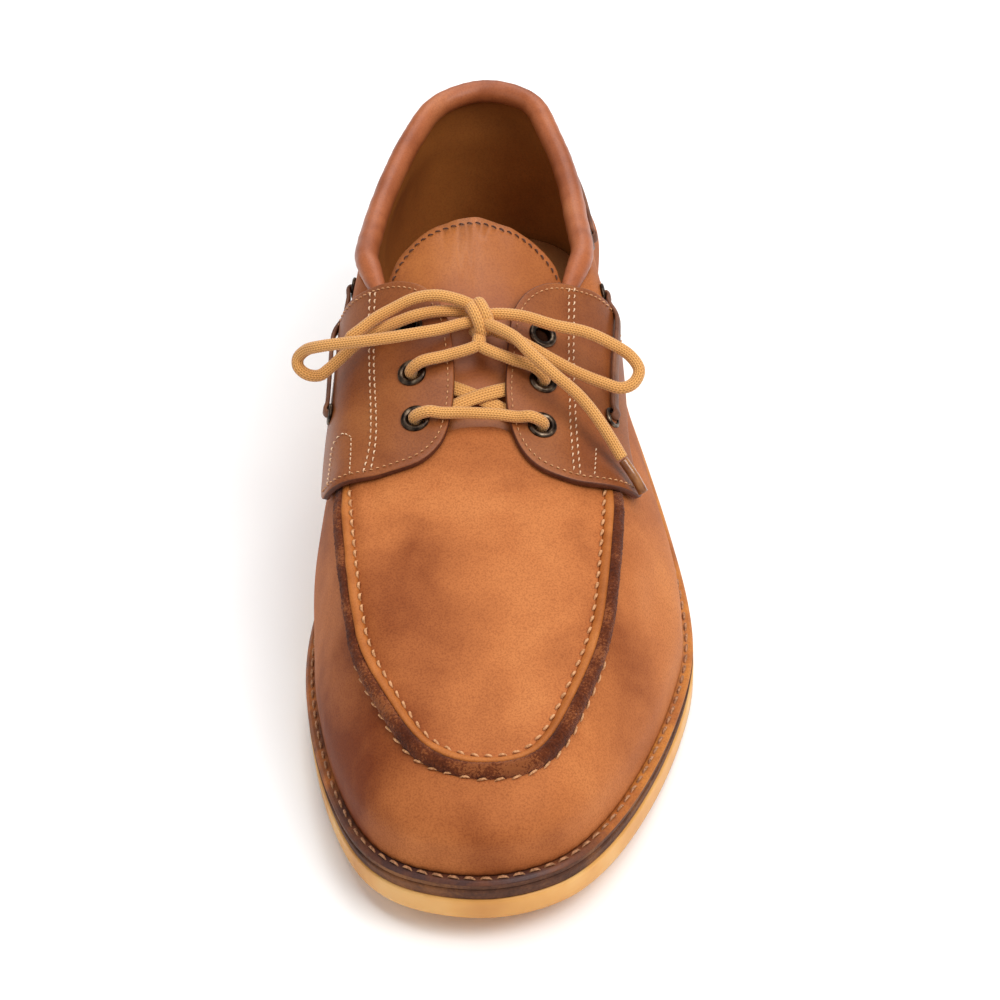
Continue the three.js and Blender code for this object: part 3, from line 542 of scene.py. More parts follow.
def tree_of(made, keep=None):
    """A search tree over a piece's faces, or over some of them, in millimetres."""
    points = points_of(made)
    polygons = [list(p.vertices) for p in made.data.polygons if keep is None or keep[p.index]]
    return BVHTree.FromPolygons([Vector(p) for p in points], polygons)


upper_tree = tree_of(upper, ~inside)


def smoothed(values, reach):
    """A running mean along a line, for normals and offsets."""
    kernel = np.hanning(2 * reach + 3)[1:-1]
    kernel /= kernel.sum()
    ends = 2 * values[:1] - values[reach:0:-1], 2 * values[-1:] - values[-2:-reach - 2:-1]
    padded = np.concatenate([ends[0], values, ends[1]])
    return np.stack([np.convolve(padded[:, k], kernel, "valid") for k in range(values.shape[1])], 1)


# Apron seam: the vamp leather is gathered up against the plug and sewn through, so a raw cut edge
# stands up all round the plug like a low suede wall, with the rolled lip of the plug beside it.
def rings_of(cad, sides, start):
    """Centres of a swept CAD piece's rings in order, from the end that is nearest to start."""
    work = bmesh.new()
    work.from_mesh(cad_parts[cad].data)
    bmesh.ops.remove_doubles(work, verts=work.verts, dist=WELD)
    goal = Vector(start) * MM
    ring = sorted(work.verts, key=lambda v: (v.co - goal).length)[:sides]
    seen = set()
    centres = []
    while ring:
        centres.append(np.mean([v.co for v in ring], 0) / MM)
        seen.update(ring)
        ring = list({e.other_vert(v) for v in ring for e in v.link_edges} - seen)
    work.free()
    return np.array(centres)


def tube_faces(rings, sides):
    """Faces between rings of points in order, with both ends filled."""
    faces = [(i * sides + j, i * sides + (j + 1) % sides, (i + 1) * sides + (j + 1) % sides, (i + 1) * sides + j)
             for i in range(rings - 1) for j in range(sides)]
    return faces + [list(range(sides))[::-1], [(rings - 1) * sides + j for j in range(sides)]]


def swept(name, path, outs, profile, *materials, roughen=0.0, tall=1.0):
    """A closed profile of (across, out) pairs, swept along a line, with its ends filled."""
    tall = np.broadcast_to(tall, len(path))[:, None, None]
    ahead = unit(np.gradient(path, axis=0))
    across = unit(np.cross(ahead, outs))
    out = np.cross(across, ahead)
    shape = np.asarray(profile, float)[None]
    points = path[:, None] + shape[..., :1] * across[:, None] + shape[..., 1:] * tall * out[:, None]
    if roughen:
        points = points + np.random.default_rng(3).normal(0, roughen, points.shape)
    made = mesh_piece(name, points.reshape(-1, 3), tube_faces(*points.shape[:2]), *materials)
    outwards(made)
    return made


# Raw suede edge: torn fibres of the cut hide, dark with dye, with no shine at all.
suede, where = new_material("raw_suede_edge")
nap = noise(where, 1500, 5, Roughness=0.75)
worn = maths("MULTIPLY_ADD", noise(where, 90, 3), 0.8, nap)
close_material(where, {"Roughness": 0.95, "Sheen Weight": 0.08, "Sheen Roughness": 0.5, "Specular IOR Level": 0.1},
               Base_Color=ramp(worn, (0.7, "461D0C"), (0.95, "683218"), (1.25, "8A4E2A")),
               Normal=bumped(nap, 0.9, 0.0004))
plug_leather = leather("plug_lip_leather", ("92501F", "A65E28", "B66C32", "C27A3C"), 0.55, cloud=14, grain=0.5,
                       pores=0.25, gloss=0.2)
SEAM_START = (-44, -35, 66)
SEAM_STEP, NAP_STEP = 0.7, 0.42
UNDER_TAB, LOWERED = 9, 13  # the seam runs on this far under the tabs, and is pressed flat from here on
WALL_EDGE = (
    (-1.2, -0.5), (-1.3, 1.0), (-1.2, 1.8), (-0.9, 2.4), (-0.4, 2.8), (0.1, 2.95), (0.7, 3.0), (1.3, 2.9),
    (1.9, 2.6), (2.4, 2.2), (2.8, 1.6), (3.1, 1.0), (3.25, 0.4), (3.3, -0.5),
)
LIP = ((-3.4, -0.4), (-3.3, 0.4), (-3.0, 1.2), (-2.5, 1.8), (-1.9, 2.1), (-1.4, 2.0), (-1.05, 1.5), (-1.0, -0.4))


def nearest(points):
    """The nearest places of the upper's outside, and its normals there."""
    hits = [upper_tree.find_nearest(Vector(p)) for p in points]
    return np.array([hit[0] for hit in hits]), np.array([hit[1] for hit in hits])


seam = evenly(curve_through(rings_of("apron_seam", 5, SEAM_START)), SEAM_STEP)
seam = smoothed(smoothed(seam, 18), 18)
front = seam[:, 1] < -60  # round the toe the line is fuller than the CAD's, most at its two corners
seam[:, 1] += 1.8 * np.exp(-((seam[:, 0] - 5) / 24) ** 2) * front
fuller = np.exp(-((seam[:, 1] + 86) / 17) ** 2) * (1 - np.exp(-(seam[:, 0] / 12) ** 2))
seam[:, 0] += np.where(seam[:, 0] < 0, -4.4 * fuller, 1.6 * fuller - 1.6 * smoothstep(5, 25, seam[:, 0]))
runs = [unit(seam[0] - seam[12]), unit(seam[-1] - seam[-13])]
seam = np.vstack([seam[0] + runs[0] * UNDER_TAB, seam, seam[-1] + runs[1] * UNDER_TAB])
seam, seam_out = nearest(evenly(seam, SEAM_STEP))
seam_out = unit(smoothed(seam_out, 6))
seam = smoothed(seam, 3)
seam_across = unit(np.cross(unit(np.gradient(seam, axis=0)), seam_out))


def seam_height(line):
    """The seam's height along a line, as a share of its full height."""
    s = lengths_along(line[:, :3])
    return np.clip(np.minimum(s, s[-1] - s) / LOWERED, 0.1, 1) ** 0.7


nap_line = evenly(np.hstack([seam, seam_out]), NAP_STEP)
wall = swept("apron_raw_edge", nap_line[:, :3], nap_line[:, 3:], WALL_EDGE, suede, roughen=0.1,
             tall=seam_height(nap_line))
place(wall, "raw_edge", "apron_seam")
lip = swept("plug_lip", seam, seam_out, LIP, plug_leather, tall=seam_height(seam))
place(lip, "nubuck")


def beside_seam(across, out, first, last):
    """A line beside the seam between two shares of its length, seated on the leather."""
    ends = slice(int(first * len(seam)), int(last * len(seam)))
    line, outs = nearest(seam[ends] + seam_across[ends] * across)
    outs = unit(smoothed(outs, 4))
    return smoothed(line, 3) + outs * out, outs


inner_row = (*beside_seam(-3.75, 0.2, 0.02, 0.98), 2.7, 1.2, 0.95, 0.5)
outer_row = (*beside_seam(3.55, 0.25, 0.26, 0.74), 3.3, 1.5, 0.8, -0.7)
stitching("apron_stitching", [inner_row, outer_row], cream_thread, "nubuck")

# Tongue: smooth calf with a rounded top, faced and stitched close to its edge in brown thread.
calf = leather("smooth_calf", ("86441E", "9A5426", "AC642E", "BA7238"), 0.42, cloud=32, grain=0.6, pores=0.25,
               relief=0.07)
tongue = carried("tongue_leather", "tongue", 1, calf, sharp=60)
place(tongue, "smooth_leather", "tongue")
tongue_tree = tree_of(tongue)
RIM_MIDDLE, RIM_IN = np.array([-2.5, 20.0]), 1.9
flat = points_of(tongue)[:, :2] - RIM_MIDDLE
rim = []
for turn in range(-74, 75, 4):
    ray = np.array([math.sin(math.radians(turn)), math.cos(math.radians(turn))])
    near = np.abs(flat @ [ray[1], -ray[0]]) < 2.5
    rim.append(RIM_MIDDLE + ray * ((flat @ ray)[near].max() - RIM_IN))
rim = evenly(smoothed(curve_through(rim), 10), 0.8)
hits = [tongue_tree.ray_cast(Vector((x, y, 140)), Vector((0, 0, -1))) for x, y in rim]
rim_path = smoothed(np.array([hit[0] for hit in hits]), 3)
rim_out = unit(smoothed(np.array([hit[1] for hit in hits]), 4))
stitching("tongue_stitching", [(rim_path + rim_out * 0.15, rim_out, 1.9, 0.6, 0.55, 0.5)], brown_thread,
          "smooth_leather")

# Instep surface: how far the leather lies from a line down the middle of the shoe, smoothed from the
# upper and the tongue. The tabs, their stitching and the lace in the holes all lie on it.
STEP = 1.5
UNDER_THROAT = 2.4  # the tongue lies this much below the upper's own surface
RAY = 90  # the rays start this far from the middle line
field_y = np.arange(-54, 60.1, STEP)
field_turn = np.arange(-106, 106.1, STEP)
bare = np.full((len(field_y), len(field_turn)), np.nan)
for i, y in enumerate(field_y):
    for j, turn in enumerate(field_turn):
        ray = Vector((math.sin(math.radians(turn)), 0, math.cos(math.radians(turn))))
        start = Vector((AXIS_X, y, AXIS_Z)) + ray * RAY
        hits = [(tree.ray_cast(start, -ray, 80), lift)
                for tree, lift in ((upper_tree, 0), (tongue_tree, UNDER_THROAT))]
        bare[i, j] = max([RAY - hit[3] + lift for hit, lift in hits if hit[0] is not None], default=np.nan)
for row in bare:
    known = ~np.isnan(row)
    row[~known] = np.interp(field_turn[~known], field_turn[known], row[known])
kernel = np.exp(-0.5 * (np.arange(-6, 7) / 2.2) ** 2)
kernel /= kernel.sum()


def ironed(values):
    """The field with its small bumps taken out."""
    for _ in range(2):
        padded = np.pad(values, ((6, 6), (0, 0)), mode="edge")
        values = np.apply_along_axis(lambda c: np.convolve(c, kernel, "valid"), 0, padded).T
    return values


field = ironed(bare)
sunk = ironed(np.maximum(bare - field, 0)) + 0.25  # low on the sides it mustn't lie in the leather
field += smoothstep(50, 64, np.abs(field_turn)) * np.maximum(sunk, bare - field + 0.1)


def reach_at(turn, y):
    """Distance from the middle line to the instep surface."""
    i = np.clip((np.asarray(y, float) - field_y[0]) / STEP, 0, len(field_y) - 1.001)
    j = np.clip((np.asarray(turn, float) - field_turn[0]) / STEP, 0, len(field_turn) - 1.001)
    a, b = i.astype(int), j.astype(int)
    u, v = i - a, j - b
    return ((1 - u) * (1 - v) * field[a, b] + u * (1 - v) * field[a + 1, b]
            + (1 - u) * v * field[a, b + 1] + u * v * field[a + 1, b + 1])


def on_instep(turn, y, out=0.0):
    """Points of the instep, out from its surface, and the normals there."""
    turn, y = np.asarray(turn, float), np.asarray(y, float)

    def spot(t, v):
        r = reach_at(t, v)
        return np.stack([AXIS_X + r * np.sin(np.radians(t)), v, AXIS_Z + r * np.cos(np.radians(t))], -1)

    normals = unit(np.cross(spot(turn + 2, y) - spot(turn - 2, y), spot(turn, y + 1.5) - spot(turn, y - 1.5)))
    from_middle = spot(turn, y) - np.stack([AXIS_X + 0 * y, y, AXIS_Z + 0 * y], -1)
    normals *= np.sign((normals * from_middle).sum(-1, keepdims=True))
    return spot(turn, y) + normals * np.asarray(out)[..., None], normals


def on_instep_at(points):
    """The turn and the place along of points near the instep."""
    p = np.asarray(points, float)
    return np.degrees(np.arctan2(p[..., 0] - AXIS_X, p[..., 2] - AXIS_Z)), p[..., 1]


def middle_of(cad):
    """The centre of a CAD piece."""
    return np.mean([v.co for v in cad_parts[cad].data.vertices], 0) / MM


# Lace tabs: heavier, redder calf, cut to a rounded front and sewn over the throat. The edges are
# burnished dark, and darkened further with painted shadow along the outline. Both are one pattern,
# turned over, and the outlines follow each side's own drape.
SIDES = ("lateral", "medial")
TAB, TAB_LIFT = 2.2, 0.35
TAB_TOP = TAB_LIFT + TAB
TAB_OUTLINES = {  # turn in degrees from upright and place along in millimetres
    "lateral": (
        (14, 12), (14, 2), (14.5, -7), (17, -15), (22, -22.5), (29, -28), (37, -31.5), (46, -33.6), (56, -34.6),
        (65, -34), (73.5, -31.5), (80, -28.5), (81.5, -25), (78.5, -19.5), (75.5, -11), (74, -2), (73, 8),
        (71.5, 20), (69.5, 31), (67, 38), (62, 40.3), (54, 40.3), (46, 38.8), (38, 36), (30, 33), (24, 29.8),
        (18.5, 25), (15, 19),
    ),
    "medial": (
        (-9.5, 14), (-9.3, 3), (-10.5, -6), (-13.5, -14), (-18.5, -21.5), (-25, -26), (-33, -29.2), (-43, -31),
        (-53, -31.8), (-62, -31.2), (-70, -29), (-76, -26), (-78.5, -22), (-78.3, -14), (-77, -3), (-75.5, 8),
        (-74, 20), (-72, 31), (-69.5, 38.5), (-64, 41), (-56, 41), (-48, 39.6), (-40, 37.3), (-31, 34.2),
        (-23, 31), (-16.5, 27), (-12, 21),
    ),
}
MM_A_DEGREE = 0.78
GRID = 1.25  # spacing of a tab's inner points
HOLE, HOLE_SIDES = 2.9, 18
tab_calf = leather("red_brown_calf", ("703616", "84461E", "945428", "A26232"), 0.46, cloud=24, grain=0.6,
                   pores=0.3, relief=0.1)
# the rim of each tab: burnished dark, and darker still as painted shadow along the tab's outline
edge_and_painted_shadow = leather("burnished_edge_and_painted_shadow", ("3E1C10", "522918", "623420", "70402A"), 0.55, cloud=8, pores=0.4)
EYELETS = {side: [f"eyelet_{side}_{i}" for i in (1, 2, 3)] for side in SIDES}


def over_seam(turn, y):
    """How far a tab is pushed out where it lies over the apron seam."""
    rise = 0
    for end in (seam[6], seam[-7]):
        end_turn, end_y = on_instep_at(end)
        away = ((turn - end_turn) * MM_A_DEGREE) ** 2 + (y - end_y) ** 2
        rise = rise + 1.3 * np.exp(-away / 60)
    return rise


def on_tab_top(flat, out=0.0):
    """Points on a tab's upper side, from flat ones in millimetres, and the normals there."""
    turns, ys = flat[:, 0] / MM_A_DEGREE, flat[:, 1]
    return on_instep(turns, ys, TAB_TOP + out + over_seam(turns, ys))


def within(points, polygon):
    """Which flat points lie inside a closed outline."""
    x, y = points[:, 0], points[:, 1]
    hit = np.zeros(len(points), bool)
    for (x0, y0), (x1, y1) in zip(polygon, np.roll(polygon, -1, 0)):
        cross = (y0 > y) != (y1 > y)
        with np.errstate(divide="ignore", invalid="ignore"):
            hit ^= cross & (x < (x1 - x0) * (y - y0) / (y1 - y0) + x0)
    return hit


def flat_outline(side):
    rows = np.array(TAB_OUTLINES[side]) * [MM_A_DEGREE, 1]
    return evenly(np.vstack([curve_through(rows, True), rows[:1]]), 1.1)[:-1]


def tab_piece(side):
    """A tab cut flat, with its eyelet holes, and then laid on the instep and given its thickness."""
    edge = flat_outline(side)
    spin = np.arange(HOLE_SIDES) * 2 * math.pi / HOLE_SIDES
    holes = []
    for cad in EYELETS[side]:
        turn, y = on_instep_at(middle_of(cad))
        holes.append(np.column_stack([turn * MM_A_DEGREE + HOLE * np.cos(spin), y + HOLE * np.sin(spin)]))

    def leathery(points):
        return within(points, edge) & ~np.any([within(points, hole) for hole in holes], 0)

    xs, ys = np.meshgrid(*(np.arange(low, high, GRID) for low, high in zip(edge.min(0), edge.max(0))))
    xs[1::2] += GRID / 2
    inner = np.column_stack([xs.ravel(), ys.ravel()])
    loops, edges, start = [edge, *holes], [], 0
    gaps = np.sqrt(((inner[:, None] - np.vstack(loops)[None]) ** 2).sum(-1)).min(1)
    inner = inner[(gaps > 0.75) & leathery(inner)]
    for loop in loops:
        n = len(loop)
        edges += [(start + k, start + (k + 1) % n) for k in range(n)]
        start += n
    flat = [Vector(p) for p in np.vstack([*loops, inner])]
    verts, _, faces, *_ = delaunay_2d_cdt(flat, edges, [], 0, 1e-6)
    flat = np.array([tuple(v) for v in verts])
    keep = leathery(np.array([flat[list(f)].mean(0) for f in faces]))
    points, outs = on_tab_top(flat)
    kept = [f for f, k in zip(faces, keep) if k]
    a, b, c = (points[[f[k] for f in kept]] for k in range(3))
    if (np.cross(b - a, c - a) * outs[[f[0] for f in kept]]).sum() < 0:
        kept = [f[::-1] for f in kept]
    made = mesh_piece("tab_leather_" + side, points, kept, tab_calf, edge_and_painted_shadow)
    work = bmesh.new()
    work.from_mesh(made.data)
    bmesh.ops.delete(work, geom=[v for v in work.verts if not v.link_faces], context="VERTS")
    work.to_mesh(made.data)
    work.free()
    wall = made.modifiers.new("thickness", "SOLIDIFY")
    wall.thickness, wall.offset, wall.material_offset_rim = TAB * MM, -1, 1
    edging = made.modifiers.new("burnished", "BEVEL")
    edging.width, edging.segments = 0.6 * MM, 3
    edging.limit_method, edging.angle_limit = "ANGLE", math.radians(50)
    apply_all(made)
    select_only(made)
    bpy.ops.object.shade_smooth_by_angle(angle=math.radians(60))
    made.select_set(False)
    return place(made, "dark_leather", "tab_" + side)


def on_tab(rows):
    """A line on a tab through (turn, along) rows."""
    return on_tab_top(evenly(curve_through(np.array(rows, float) * [MM_A_DEGREE, 1]), 0.8), 0.12)


def inside_edge(side, first, last, inset):
    """A line that follows part of a tab's outline at a distance inside it."""
    edge = flat_outline(side)
    ahead = unit(np.roll(edge, -1, 0) - np.roll(edge, 1, 0))
    inward = np.stack([-ahead[:, 1], ahead[:, 0]], 1)
    if not within((edge + inward)[:1], edge)[0]:
        inward = -inward
    picks = np.arange(int(first * len(edge)), int(last * len(edge))) % len(edge)
    return on_tab_top(smoothed((edge + inward * inset)[picks], 3), 0.1)


tabs = [tab_piece(side) for side in SIDES]
FINE = (1.2, 0.8, 0.42, 0.1)
edge_rows = [(*inside_edge(side, *part), *FINE) for part in ((0.0, 0.42, 2.1), (0.7, 1.0, 1.9)) for side in SIDES]
stitching("tab_edge_stitching", edge_rows, cream_thread, "dark_leather")
DOUBLE = (1.55, 0.95, 0.52, 0.25)
ROWS = (
    ((34.2, 34), (38, 15), (45, -10), (48, -19), (52.5, -32)),
    ((36.6, 34.6), (40.4, 15), (47.6, -10), (50.6, -19), (55.2, -32.4)),
    ((-33.4, 33.5), (-41, 9), (-47.5, -17), (-53, -30)),
    ((-35.8, 34), (-43.4, 9), (-50, -17), (-55.6, -30.2)),
)
SHORT = (
    ((59.4, -20), (60.2, -31.5)),
    ((-57.3, -14), (-59.6, -30)),
    ((-57.3, -14), (-60.5, -10.5), (-65, -11.5), (-67.5, -18), (-68.5, -27)),
)
stitching("tab_double_stitching", [(*on_tab(row), *DOUBLE) for row in ROWS] + [(*on_tab(row), *FINE) for row in SHORT],
          pale_thread, "dark_leather")


# Eyelets: spun brass, blackened and rubbed back on the rim, clenched through tab and lining.
brass, where = new_material("antiqued_brass")
rub = noise(where, 420, 4)
close_material(where, {"Metallic": 1.0, "Roughness": 0.34}, Normal=bumped(rub, 0.3, 0.0001),
               Base_Color=ramp(rub, (0.38, "2A221E"), (0.55, "54463A"), (0.72, "8C7C68")))
hole_dark = leather("shaded_leather_in_hole", ("1E0F08", "2A160C", "341C10", "402414"), 0.85, cloud=6,
                    gloss=0.05)


def eyelet_piece(name, cad, seat, axis_out, outer, bore, rise, barrel):
    """A rolled flange on a short barrel, turned to the hole's axis, with the dark of the hole below."""
    width, inner = (outer - bore) / 2, (bore + 0.25) * MM
    bpy.ops.mesh.primitive_torus_add(major_radius=(outer + bore) / 2 * MM, minor_radius=width * MM,
                                     major_segments=40, minor_segments=12)
    made = bpy.context.object
    made.name = made.data.name = name
    bpy.ops.object.mode_set(mode="EDIT")
    bpy.ops.transform.resize(value=(1, 1, rise / width))
    bpy.ops.mesh.primitive_cylinder_add(vertices=40, radius=inner, depth=barrel * MM, end_fill_type="NOTHING",
                                        location=(0, 0, -barrel / 2 * MM))
    bpy.ops.mesh.primitive_circle_add(vertices=40, radius=inner, fill_type="NGON", location=(0, 0, -barrel * MM))
    bpy.ops.object.mode_set(mode="OBJECT")
    turned = Vector((0, 0, 1)).rotation_difference(Vector(axis_out)).to_matrix().to_4x4()
    made.data.transform(Matrix.Translation(Vector(seat) * MM) @ turned)
    made.matrix_world = Matrix.Identity(4)
    made.data.materials.append(brass)
    made.data.materials.append(hole_dark)
    shade_smooth(made.data)
    made.data.polygons[len(made.data.polygons) - 1].material_index = 1
    return place(made, "antique_brass", cad)


for side in SIDES:
    for cad in EYELETS[side]:
        seat, axis_out = on_instep(*on_instep_at(middle_of(cad)), TAB_TOP + 0.15)
        eyelet_piece("ring_" + cad, cad, seat, axis_out, 4.4, 2.4, 0.8, 2.0)

# Collar: a padded roll of the smooth calf over foam, sewn to the topline and joined at the medial side.
collar_calf = leather("collar_calf", ("803E20", "96502C", "AA6038", "BC7448"), 0.4, cloud=20, grain=0.6,
                      pores=0.25, relief=0.08)
collar = carried("collar_roll", "collar", 2, collar_calf, sharp=70)
roll_points = points_of(collar)
normal = read(collar.data.vertices, "normal")
round_way = np.arctan2(roll_points[:, 0] - AXIS_X, roll_points[:, 1] - 70) * 50
soft = 0.1 * np.sin(round_way / 5.7) * np.sin(round_way / 3.9 + 1)
soft += 0.05 * np.sin(round_way * 2.1 + 2 * np.sin(round_way / 3))
roll_points += normal * soft[:, None]
tuck = np.clip((50 - roll_points[:, 1]) / 12, 0, 1)  # both ends thin out and dive under the tabs
for sign, end, start in ((1, (24.9, 88.1), (29.3, 86.5)), (-1, (-31.5, 91.0), (-35.3, 88.8))):
    own = (roll_points[:, 0] * sign > 0) & (tuck > 0)
    share = (tuck[own] ** 1.5)[:, None]
    middle = np.array(start) + (np.array(end) - np.array(start)) * tuck[own][:, None]
    roll_points[np.ix_(own, [0, 2])] = middle + (roll_points[np.ix_(own, [0, 2])] - middle) * (1 - 0.5 * share)
    roll_points[own] += share * [-sign * 1.2, -9, -4.2]
set_points(collar, roll_points)
place(collar, "smooth_leather", "collar")

# Side lace: a rawhide thong threaded through small eyelets round the quarters.
thong = leather("oiled_thong", ("4E2C1C", "633A24", "784A30", "8A5A3C"), 0.5, cloud=10, grain=0.5)
skins = [upper_tree, *(tree_of(made) for made in tabs)]
STRAP = ((-1.6, -0.35), (-1.35, -0.7), (1.35, -0.7), (1.6, -0.35), (1.6, 0.35), (1.35, 0.7), (-1.35, 0.7), (-1.6, 0.35))


def on_side(point):
    """The outermost leather near a place on the shoe's side, and the direction out of it."""
    out = upper_tree.find_nearest(Vector(point))[1]
    out = Vector((out.x, out.y, out.z * 0.6)).normalized()
    start = Vector(point) + out * 14
    hits = [skin.ray_cast(start, -out, 26) for skin in skins]
    near = min((hit for hit in hits if hit[0] is not None), key=lambda hit: hit[3])
    return np.array(near[0]), np.array(out)


DEEP, SHALLOW = 2.4, 0.9  # how far the thong's last points lie below its run, as it dives into the holes
share = np.linspace(0, 1, 41)
lift = 1.1 + 0.4 * np.sin(share * math.pi) + 1.1 * np.exp(-(np.minimum(share, 1 - share) / 0.05) ** 2)
for side in SIDES:
    for run, ends in (("front", (1, 2)), ("rear", (3, 4))):
        a, b = (middle_of(f"side_eyelet_{side}_{i}") for i in ends)
        for i, middle in zip(ends, (a, b)):
            seat, out = on_side(middle)
            eyelet_piece(f"side_ring_{side}_{i}", f"side_eyelet_{side}_{i}", seat + out * 0.25, out,
                         3.4, 1.9, 0.6, 1.2)
        seats = [on_side(a + (b - a) * t) for t in share]
        outs = unit(smoothed(np.array([s[1] for s in seats]), 5))
        line = smoothed(np.array([s[0] for s in seats]), 4) + outs * lift[:, None]
        ahead = unit(b - a)
        path = [line[0] - outs[0] * DEEP + ahead * 0.2, line[0] - outs[0] * SHALLOW, *line[1:-1],
                line[-1] - outs[-1] * SHALLOW, line[-1] - outs[-1] * DEEP - ahead * 0.2]
        facing = [-ahead, unit(outs[0] - 1.5 * ahead), *outs[1:-1], unit(outs[-1] + 1.5 * ahead), ahead]
        made = swept(f"thong_{side}_{run}", np.array(path), np.array(facing), STRAP, thong)
        place(rounded(made, 1), "thong_leather", f"side_lace_{side}_{run}")


# Lace: a round braided cotton cord, golden yellow, waxed a little. Sixteen yarns cross in a
# herringbone. Its colour is painted shade in the grooves between the yarns and painted highlight on
# their crowns, so darker lines run along it.
cotton, where = new_material("braided_cotton")
uv = node(where, "ShaderNodeUVMap", {"uv_map": "lace"}).outputs[0]
split = node(where, "ShaderNodeSeparateXYZ", {}, {0: uv}).outputs
zigzag = maths("PINGPONG", maths("MULTIPLY", split["X"], 8), 0.5)
along = maths("MULTIPLY_ADD", zigzag, 1.3, split["Y"])
yarn = maths("SINE", maths("MULTIPLY", along, 2 * math.pi))
height = maths("MULTIPLY_ADD", yarn, 0.08, maths("PINGPONG", zigzag, 0.25))
# painted shade and highlight: darker where the braid is low, lighter where it is high
body = ramp(remap(height, -0.06, 0.3, 0, 1), (0.05, "A0652E"), (0.45, "CE9048"), (0.9, "ECB066"))
soiled = remap(noise(where, 70, 4), 0.45, 0.75, 0, 0.35)
fuzz = maths("MULTIPLY_ADD", noise(where, 2600, 3), 0.12, height)
close_material(where, {"Roughness": 0.85, "Sheen Weight": 0.2}, Base_Color=tinted(soiled, body, "B87632"),
               Normal=bumped(fuzz, 0.8, 0.0006))
LACE = 3.6
LACE_SIDES = 20
BRAID = 0.9  # one step of the braid


def lace_piece(name, path, thick=LACE, flat=1.0, outs=None, taper=0.0):
    """A braided cord along a line: it keeps a steady twist, and its map runs round and along it."""
    path = evenly(np.asarray(path, float), 0.45)
    ahead = unit(np.gradient(path, axis=0))
    frames = np.empty_like(path)
    frames[0] = unit(np.cross(ahead[0], [0.3, 0.2, 1.0]))
    for i in range(1, len(path)):
        frames[i] = unit(frames[i - 1] - ahead[i] * (frames[i - 1] @ ahead[i]))
    if outs is not None:
        frames = unit(np.cross(ahead, outs))
    other = np.cross(ahead, frames)
    s = lengths_along(path)
    n = LACE_SIDES
    turns = np.arange(n) * 2 * math.pi / n
    zig = np.abs((turns / (2 * math.pi) * 8) % 1 - 0.5)
    ripple = 0.025 * np.sin(2 * math.pi * (s[:, None] / BRAID + 1.3 * zig[None]))
    radius = thick / 2 * (1 + ripple)
    if taper:
        end = np.clip((s[-1] - s) / taper, 0, 1)
        radius = radius * np.sqrt(0.25 + 0.75 * end)[:, None]
    points = (path[:, None] + (radius * np.cos(turns))[..., None] * frames[:, None]
              + flat * (radius * np.sin(turns))[..., None] * other[:, None])
    made = mesh_piece(name, points.reshape(-1, 3), tube_faces(len(path), n), cotton)
    layer = made.data.uv_layers.new(name="lace")
    for face in made.data.polygons:
        closing = len(face.vertices) == 4 and face.vertices[0] % n == n - 1  # its far side is at 1, not at 0
        for loop, v in zip(face.loop_indices, face.vertices):
            j = v % n or (n if closing else 0)
            layer.data[loop].uv = (j / n, s[v // n] / BRAID)
    return made


def spot(half, along, rise):
    """A place from the CAD's route tables: half widths, shares of the length and of the instep's rise."""
    y = LENGTH / 2 - along / 1000 * LENGTH
    return (half / 1000 * HALF, y, float(welt_top(y)) + rise / 1000 * 75)


FREE = {  # each free stretch of lace, in thousandths, and what is at its far end
    "lace_loop_medial": ("object", (
        (-35, 464, 995), (-110, 468, 1000), (-220, 477, 1010), (-345, 484, 1020), (-470, 488, 1020),
        (-605, 487, 1005), (-740, 477, 960), (-850, 466, 910), (-930, 458, 865), (-975, 460, 835),
        (-975, 468, 820), (-930, 476, 810), (-870, 475, 800), (-820, 468, 805), (-755, 458, 820),
        (-690, 452, 850), (-620, 452, 895), (-535, 455, 945), (-440, 457, 985), (-340, 456, 1010),
        (-230, 451, 1005), (-100, 447, 980), (-30, 455, 985),
    )),
    "lace_loop_lateral": ("object", (
        (-20, 461, 1005), (60, 464, 1025), (195, 467, 1020), (355, 476, 1000), (520, 478, 965), (640, 483, 925),
        (745, 492, 885), (785, 502, 850), (755, 512, 825), (690, 517, 820), (590, 512, 835), (470, 507, 870),
        (345, 500, 915), (245, 490, 940), (145, 480, 960), (50, 470, 965), (-20, 467, 985),
    )),
    "lace_end_medial": ("bare", (
        (-10, 458, 1010), (-70, 453, 1040), (-150, 448, 1055), (-245, 444, 1060), (-355, 443, 1045),
        (-465, 447, 1015), (-560, 454, 995), (-640, 461, 967), (-720, 465, 930),
    )),
    "lace_end_lateral": ("fitting", (
        (-30, 466, 1000), (30, 478, 1025), (155, 498, 1030), (230, 517, 1020), (345, 535, 975), (465, 549, 915),
        (540, 560, 860), (615, 573, 785), (675, 586, 720),
    )),
}
AGLET_LINE = ((679, 587, 715), (730, 596, 665), (775, 605, 610))
RISERS_MEET = (-30, 490, 975)
KNOT = (-20, 462, 1000)

# Lace tip: brown translucent acetate film, rolled tight round the end of the braid.
acetate, where = new_material("rolled_acetate")
close_material(where, {"Roughness": 0.2, "IOR": 1.48, "Coat Weight": 0.5},
               Base_Color=ramp(noise(where, 240, 2), (0.35, "6E3E20"), (0.7, "A8703E")))
tip_path = evenly(curve_through([spot(*row) for row in AGLET_LINE]), 0.5)
spin = np.arange(14) * 2 * math.pi / 14
tip = swept("lace_tip", tip_path, upwards(tip_path), np.column_stack([np.cos(spin), np.sin(spin)]) * 1.5, acetate)
place(tip, "aglet_plastic", "aglet")

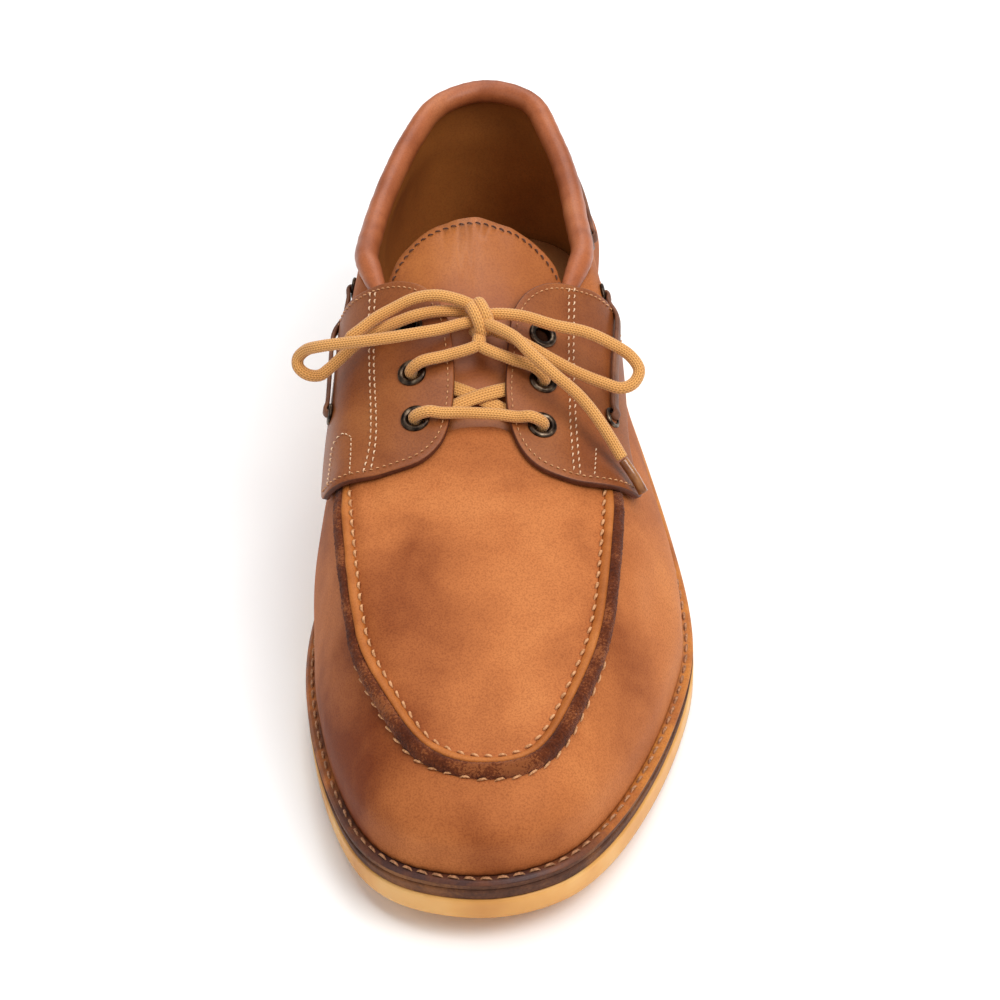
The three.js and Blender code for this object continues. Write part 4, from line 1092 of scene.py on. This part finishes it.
for cad, (far_end, rows) in FREE.items():
    path = curve_through([spot(*row) for row in rows])
    if cad == "lace_loop_medial":  # the loop's end opens towards the toe, as a limp lace can't turn on itself
        share = lengths_along(path) / lengths_along(path)[-1]
        opening = 3.4 * np.exp(-((path[:, 0] + 52) / 9) ** 2) * np.tanh((0.49 - share) / 0.05)
        path = path + opening[:, None] * np.array([0, -0.77, 0.64])
    made = lace_piece(cad + "_cord", path, taper=2.0 if far_end == "bare" else 0.0)
    place(made, "lace", cad)
    length = lengths_along(path)[-1] * MM
    (evenly(path, 1.5) * MM).tolist()

# Knot and lacing: a bar across the lowest holes, two strands that cross flat under the tabs, risers
# from the middle holes, and a band of lace drawn tight round the middle of the bow.
pieces = []


def hole(side, row):
    """The turn and the place along of an eyelet, counted from the toe."""
    return on_instep_at(middle_of(EYELETS[side][row]))


def strand(rows):
    """A line through (turn, along, out) rows on the instep."""
    rows = np.array(rows, float)
    return curve_through(on_instep(rows[:, 0], rows[:, 1], rows[:, 2])[0])


over_flange = TAB_TOP + 1.3 + LACE / 2
in_hole = TAB_TOP + 1.2
SAG = ((0.1, over_flange + 0.4), (0.2, TAB_TOP + 2.2), (0.35, TAB_TOP + 2), (0.5, TAB_TOP + 1.8),
       (0.65, TAB_TOP + 2), (0.8, TAB_TOP + 2.2), (0.9, over_flange + 0.4))
(lt, ly), (mt, my) = hole("lateral", 0), hole("medial", 0)
bar = [(mt + (lt - mt) * t, my + (ly - my) * t, out) for t, out in SAG]
bar = [(mt, my, 0), (mt, my, in_hole), *bar, (lt, ly, in_hole), (lt, ly, 0)]
pieces.append(lace_piece("lace_bar_low", strand(bar)))
CROSSES = ((("medial", 1), ("lateral", 0), -0.9), (("lateral", 1), ("medial", 0), 0.5))
for number, (a, b, out) in enumerate(CROSSES):
    (t0, y0), (t1, y1) = hole(*a), hole(*b)
    rows = [(t0 + (t1 - t0) * t, y0 + (y1 - y0) * t, -1.2 + (out + 1.2) * math.sin(math.pi * t))
            for t in np.linspace(0.12, 0.88, 9)]
    path = evenly(strand(rows), 0.45)
    outs = on_instep(*on_instep_at(path))[1]
    pieces.append(lace_piece(f"lace_cross_{number}", path, thick=4.6, flat=0.36, outs=outs))
meet = np.array(spot(*RISERS_MEET))
for side in SIDES[::-1]:
    turn, y = hole(side, 1)
    stem = on_instep([turn, turn], [y, y], [0, in_hole])[0]
    top = on_instep(turn, y, over_flange + 1.2)[0]
    start = top + (meet - top) * 0.18
    belly = top + (meet - top) * 0.55 + np.array([0, 0, -0.6])
    under = np.array(spot(*KNOT)) + [1.2 if side == "lateral" else -1.2, -1.0, -2.6]
    pieces.append(lace_piece("lace_riser_" + side, curve_through([*stem, start, belly, meet, under])))
select_only(*pieces)
bpy.ops.object.join()
bars = bpy.context.object
bars.name = bars.data.name = "lace_in_holes"
place(bars, "lace", "lace_bars")

knot_middle = np.array(spot(*KNOT))
knot_out = unit(np.array([0.0, -0.35, 0.94]))
for_band = np.array([0.45, -0.85, -0.3])
band_way = unit(for_band - knot_out * (for_band @ knot_out))
band_side = np.cross(knot_out, band_way)
band_turns = np.radians(np.arange(-80, 621, 15))[:, None]
band = (4.4 * np.cos(band_turns) * band_way + 3.4 * np.sin(band_turns) * knot_out
        + np.linspace(-2.5, 2.5, len(band_turns))[:, None] * band_side)
knot = lace_piece("lace_knot_band", knot_middle + curve_through(band), thick=3.9)
place(knot, "lace", "lace_knot")
